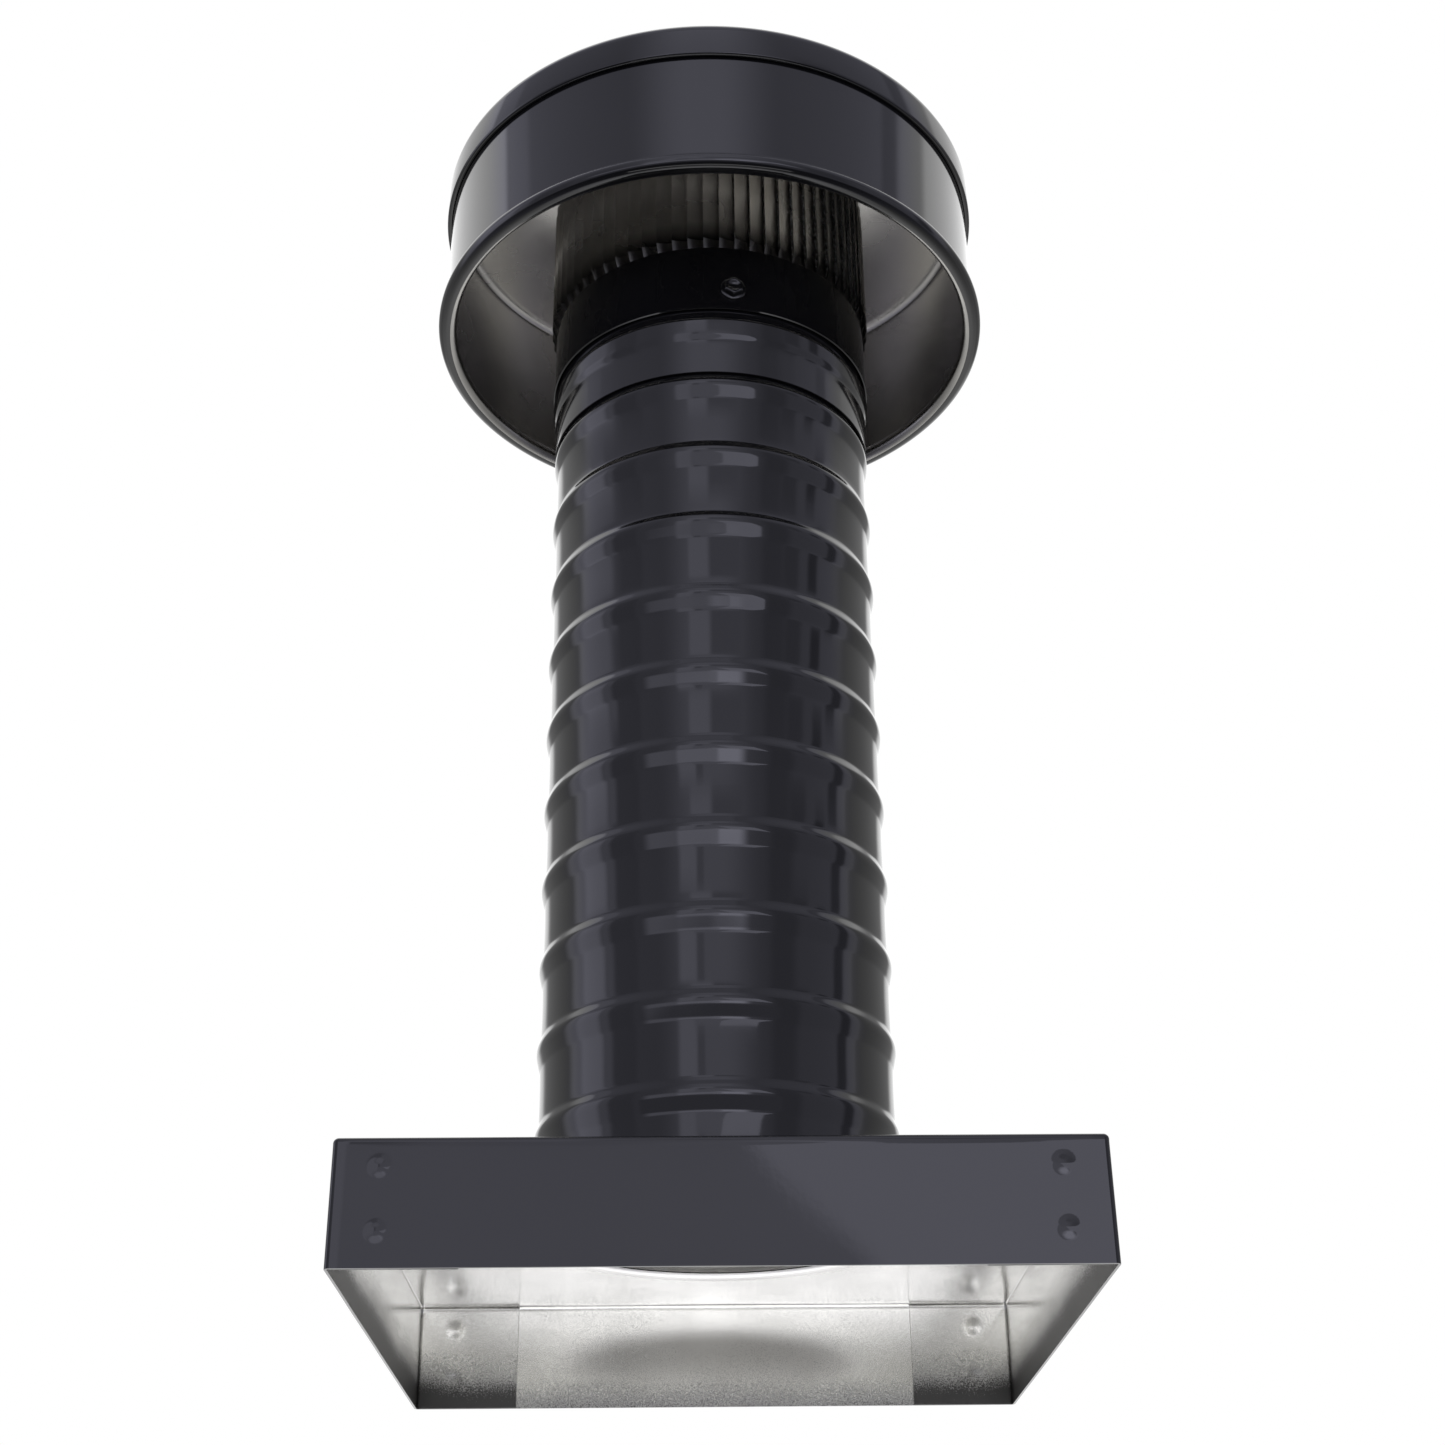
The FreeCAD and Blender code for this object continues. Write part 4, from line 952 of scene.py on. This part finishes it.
def frame_bar(shape, turn, half, low, high):
    """One side of the frame: an angle section with softened edges, mitred at both ends."""
    under_lip = high - GLASS_RECESS - FRAME_EDGE
    section = [(half, low), (half, high - FRAME_EDGE), (half - FRAME_EDGE, high),
               (half - FRAME_LIP + FRAME_EDGE, high), (half - FRAME_LIP, high - FRAME_EDGE),
               (half - FRAME_LIP, under_lip), (half - FRAME_WALL, under_lip), (half - FRAME_WALL, low)]
    loops = []
    for end in (-1, 1):
        loops.append([swing((out, end * (out - MITRE_GAP), height), turn) for out, height in section])
    shape.add_loft(loops)


def panel_frame():
    low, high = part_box("panel_frame")
    shape = Shape()
    for quarter in range(4):
        frame_bar(shape, quarter * math.pi / 2, high[0], low[2], high[2])
    make_piece("panel_frame_bars", shape, (FRAME_ALUMINIUM,), HOUSING,
               ["panel_frame"], 25.0)


def solar_cells():
    """Sixteen pseudo-square cells with clipped corners."""
    low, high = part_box("solar_cells")
    half = CELL_WIDTH / 2
    near = half - CELL_CLIP
    corners = [(half, near), (near, half), (-near, half), (-half, near),
               (-half, -near), (-near, -half), (near, -half), (half, -near)]
    shape = Shape()
    for column in CELL_PLACES:
        for row in CELL_PLACES:
            loops = []
            for height in (low[2], high[2]):
                loops.append([(column * CELL_PITCH + east, row * CELL_PITCH + north, height)
                              for east, north in corners])
            shape.add_loft(loops)
    make_piece("solar_cell_array", shape, (SILICON,), HOUSING, ["solar_cells"])


# ---------------------------------------------------------------- finishes of the CAD nodes that stay
def finish_nodes():
    """Gives every kept CAD node its material and softens its edges."""
    kept = {
        # node: material and width of its softened edges in millimetres
        "lid_rivets": (ALUMINIUM, 0.3), "motor_bracket": (ZINC, 0.3), "bracket_bolts": (ZINC, 0.2),
        "bracket_nuts": (ZINC, 0.2), "motor_can": (MOTOR_STEEL, 0.5), "motor_end_cap": (BLACK_PLASTIC, 0.5),
        "motor_bearings": (BRONZE, 0.1), "motor_magnets": (FERRITE, 0.2), "motor_brushes": (CARBON, 0.1),
        "motor_screws": (ZINC, 0.2), "motor_shaft": (MOTOR_STEEL, 0.2),
        "motor_armature": (MOTOR_STEEL, 0.2), "commutator": (BRONZE, 0.1), "fan_hub": (ALUMINIUM, 0.4),
        "hub_set_screw": (ZINC, 0.1), "hub_rivets": (ALUMINIUM, 0.2), "panel_glass": (GLASS, 0.0),
        "panel_backsheet": (BACKSHEET, 0.0), "panel_rails": (FRAME_ALUMINIUM, 0.3),
        "panel_spacers": (FRAME_ALUMINIUM, 0.3), "panel_bolts": (ZINC, 0.2), "panel_nuts": (ZINC, 0.2),
        "rail_screws": (ZINC, 0.15), "junction_box": (BLACK_PLASTIC, 0.8), "lead_grommet": (RUBBER, 0.5),
        "motor_lead": (LEAD_JACKET, 0.0),
    }
    for name, (material, edge) in kept.items():
        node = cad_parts[name]
        if not node.data.materials:
            node.data.materials.append(material)
        for index in range(len(node.data.materials)):
            node.data.materials[index] = material
        if edge:
            bevel(node, edge * MM)


# ---------------------------------------------------------------- camera, floor and light
CAMERA_PLACE = Vector((-0.0122, -0.8856, -0.1749))
CAMERA_PITCH = math.radians(27.53)
CAMERA_YAW = math.radians(1.07)
CAMERA_ROLL = math.radians(-0.65)
CAMERA_LENS = 52.96
FLOOR_HEIGHT = -0.62
FLOOR_RADIUS = 0.75
FLOOR_FADE = 0.45
LOW_PANEL_PLACE = (0.0, -0.62, -0.17)
LOW_PANEL_SIZE = (0.80, 0.17)
LOW_PANEL_TILT = 16.0
LOW_PANEL_POWER = 0.58
FLOOR_GLOW = 1.1


def camera():
    forward = Vector((math.sin(CAMERA_YAW) * math.cos(CAMERA_PITCH),
                      math.cos(CAMERA_YAW) * math.cos(CAMERA_PITCH), math.sin(CAMERA_PITCH)))
    level_right = Vector((math.cos(CAMERA_YAW), -math.sin(CAMERA_YAW), 0.0))
    level_up = level_right.cross(forward)
    right = math.cos(CAMERA_ROLL) * level_right + math.sin(CAMERA_ROLL) * level_up
    upward = math.cos(CAMERA_ROLL) * level_up - math.sin(CAMERA_ROLL) * level_right
    data = bpy.data.cameras.new("camera")
    data.lens = CAMERA_LENS
    data.sensor_width = 36.0
    data.clip_start = 0.01
    data.clip_end = 50.0
    view = bpy.data.objects.new("camera", data)
    rotation = Matrix((right, upward, -forward)).transposed().to_4x4()
    view.matrix_world = Matrix.Translation(CAMERA_PLACE) @ rotation
    bpy.context.scene.collection.objects.link(view)
    bpy.context.scene.camera = view


def floor():
    """A plain pale floor below the camera, white like the surround and clear in views from below it."""
    finish = Finish("floor", (0.86, 0.86, 0.86), 0.8)
    finish.vary_color(finish.ramp(finish.noise(3.0), 0.3, 0.7), (0.85, 0.85, 0.85), (0.87, 0.87, 0.87))
    middle = finish.add("ShaderNodeVectorMath", operation="LENGTH")
    finish.join(finish.stretched((1.0, 1.0, 0.0)), middle.inputs[0])
    fade = finish.ramp(middle.outputs["Value"], FLOOR_RADIUS - FLOOR_FADE, FLOOR_RADIUS, 1.0, 0.0)
    finish.join(fade, finish.shader.inputs["Alpha"])
    finish.set("Emission Color", (1.0, 1.0, 1.0, 1.0))
    finish.set("Emission Strength", FLOOR_GLOW)
    mesh = bpy.data.meshes.new("floor")
    edge = [(FLOOR_RADIUS * math.cos(turn), FLOOR_RADIUS * math.sin(turn), FLOOR_HEIGHT)
            for turn in around_axis(64)]
    mesh.from_pydata(edge, [], [tuple(range(64))])
    mesh.materials.append(finish.material)
    ground = bpy.data.objects.new("floor", mesh)
    ground.visible_camera = False
    bpy.context.scene.collection.objects.link(ground)


class Studio(Nodes):
    """The white surround, as a world shader with soft darker and brighter areas."""

    def __init__(self):
        self.world = bpy.data.worlds.new("studio")
        super().__init__(self.world)
        self.background = self.tree.nodes["Background"]
        split = self.add("ShaderNodeSeparateXYZ")
        self.join(self.add("ShaderNodeTexCoord").outputs["Generated"], split.inputs[0])
        minus_north = self.math("MULTIPLY", split.outputs["Y"], -1.0)
        self.azimuth = self.math("MULTIPLY", self.math("ARCTAN2", split.outputs["X"], minus_north),
                                 180.0 / math.pi)
        self.elevation = self.math("MULTIPLY", self.math("ARCSINE", split.outputs["Z"]), 180.0 / math.pi)

    def between(self, value, low, high, soft):
        """1 between two angles, falling to 0 over a soft edge on both sides."""
        sides = []
        for edge, way in ((low, 1), (high, -1)):
            node = self.add("ShaderNodeMapRange", interpolation_type="SMOOTHSTEP")
            node.inputs["From Min"].default_value = edge - way * soft / 2
            node.inputs["From Max"].default_value = edge + way * soft / 2
            self.join(value, node.inputs["Value"])
            sides.append(node.outputs["Result"])
        return self.math("MULTIPLY", *sides)

    def blend(self, share, first, second):
        node = self.add("ShaderNodeMix", data_type="FLOAT")
        self.fill((node.inputs[0], node.inputs[2], node.inputs[3]), (share, first, second))
        return node.outputs[0]

    def panel(self, light, level, azimuths, elevations, soft, slant=0.0):
        """Sets the light inside a range of directions to a level, with soft and perhaps slanted sides."""
        across = self.azimuth
        if slant:
            across = self.math("MULTIPLY_ADD", self.elevation, slant, self.azimuth)
        inside = self.math("MULTIPLY", self.between(across, *azimuths, soft),
                           self.between(self.elevation, *elevations, min(soft, 6.0)))
        return self.blend(inside, light, level)

    def finish(self, light):
        """White where the camera looks past the object; the surround's light for the rest."""
        path = self.add("ShaderNodeLightPath")
        tint = self.add("ShaderNodeMix", data_type="RGBA")
        share = self.between(self.azimuth, *COOL_AZIMUTHS, COOL_SOFT)
        self.fill((tint.inputs["Factor"], tint.inputs[6], tint.inputs[7]), (share, WHITE, COOL_TINT))
        shown = self.add("ShaderNodeMix", data_type="RGBA")
        self.fill((shown.inputs["Factor"], shown.inputs[6], shown.inputs[7]),
                  (path.outputs["Is Camera Ray"], tint.outputs[2], WHITE))
        self.join(shown.outputs[2], self.background.inputs["Color"])
        self.join(self.blend(path.outputs["Is Camera Ray"], light, 1.0), self.background.inputs["Strength"])
        bpy.context.scene.world = self.world


WHITE = (1.0, 1.0, 1.0)
COOL_TINT = (0.97, 0.97, 1.17)
COOL_AZIMUTHS = (-108.0, 100.0)
COOL_SOFT = 24.0
FRONT_LEVEL = 0.55
BACK_LEVEL = 1.35
GROUND_TOP = -17.0
GROUND_FRONT = 0.06
GROUND_BACK = 1.2
ASIDE_START = 40.0
ASIDE_SPAN = 130.0
SURROUND = (
    # level, azimuths, elevations, softness, slant: 0 is the front and 90 the object's right
    (1.35, (-175.0, -103.0), (37.0, 90.0), 5.0),
    (1.35, (110.0, 175.0), (37.0, 90.0), 10.0),
    (0.80, (94.0, 110.0), (36.0, 90.0), 8.0),
    (0.72, (-102.0, -89.0), (36.0, 90.0), 4.0),
    (1.12, (-24.0, 18.0), (-4.0, 58.0), 30.0),
    (0.70, (-40.0, 20.0), (58.0, 74.0), 6.0),
    (0.38, (84.0, 93.0), (36.0, 60.0), 4.0),
    (0.44, (-148.0, -106.0), (-10.0, 33.0), 14.0),
    (1.00, (-108.0, -76.0), (-10.0, 34.0), 8.0),
    (1.42, (-97.0, -78.0), (-10.0, 26.0), 6.0),
    (0.84, (-76.0, -64.0), (-10.0, 28.0), 3.0),
    (0.46, (-70.0, -52.0), (-10.0, 35.0), 5.0),
    (1.45, (-24.0, -12.5), (-4.0, 25.0), 4.0),
    (0.82, (-12.5, -8.0), (-4.0, 25.0), 2.0),
    (1.40, (-17.0, -3.5), (26.0, 35.0), 3.0),
    (0.76, (-2.0, 19.0), (26.0, 35.0), 3.0),
    (0.40, (35.0, 52.0), (-10.0, 38.0), 8.0),
    (0.38, (52.0, 64.0), (25.0, 36.0), 5.0),
    (0.24, (83.0, 91.0), (-10.0, 27.0), 4.0),
    (0.22, (72.0, 80.0), (27.0, 34.0), 4.0),
    (0.74, (92.0, 100.0), (-10.0, 27.0), 4.0),
    (0.43, (102.0, 146.0), (-10.0, 33.0), 8.0),
    (1.22, (-14.0, 14.0), (6.0, 17.0), 3.0),
    (1.90, (16.0, 40.0), (6.0, 17.0), 0.7, 0.88),
    (1.25, (-44.0, -2.0), (-5.0, 8.0), 7.0),
    (3.00, (-2.0, 18.0), (-2.5, 6.0), 8.0),
    (1.90, (-24.0, 2.0), (-1.5, 5.0), 3.0),
    (0.45, (-48.0, 40.0), (-16.0, -3.0), 3.0),
)


def studio_light():
    """A white surround behind, and dimmer in front, with brighter panels and dark gaps."""
    studio = Studio()
    light = studio.panel(BACK_LEVEL, FRONT_LEVEL, (-148.0, 148.0), (-90.0, 90.0), 12.0)
    for area in SURROUND:
        light = studio.panel(light, *area)
    aside = studio.math("MULTIPLY_ADD", studio.math("ABSOLUTE", studio.azimuth),
                        1.0 / ASIDE_SPAN, -ASIDE_START / ASIDE_SPAN)
    behind = studio.math("POWER", studio.math("MINIMUM", studio.math("MAXIMUM", aside, 0.0), 1.0), 2.0)
    ground = studio.blend(behind, GROUND_FRONT, GROUND_BACK)
    light = studio.blend(studio.between(studio.elevation, -200.0, GROUND_TOP, 12.0), light, ground)
    studio.finish(light)


def low_panel():
    """A low soft panel in front, which lights the inside of the base from below."""
    data = bpy.data.lights.new("low_panel", "AREA")
    data.shape = "RECTANGLE"
    data.size, data.size_y = LOW_PANEL_SIZE
    data.energy = LOW_PANEL_POWER
    lamp = bpy.data.objects.new("low_panel", data)
    lamp.location = LOW_PANEL_PLACE
    lamp.rotation_euler = (math.radians(90.0 + LOW_PANEL_TILT), 0.0, 0.0)
    lamp.visible_camera = False
    bpy.context.scene.collection.objects.link(lamp)


# ---------------------------------------------------------------- everything in order
camera()
floor()
studio_light()
low_panel()
curb_base()
duct_tube()
neck_sleeve()
louver_ring()
collar_screws()
insect_screen()
wind_band()
lid()
propeller()
panel_frame()
solar_cells()
finish_nodes()
bpy.context.scene.view_settings.view_transform = "Standard"
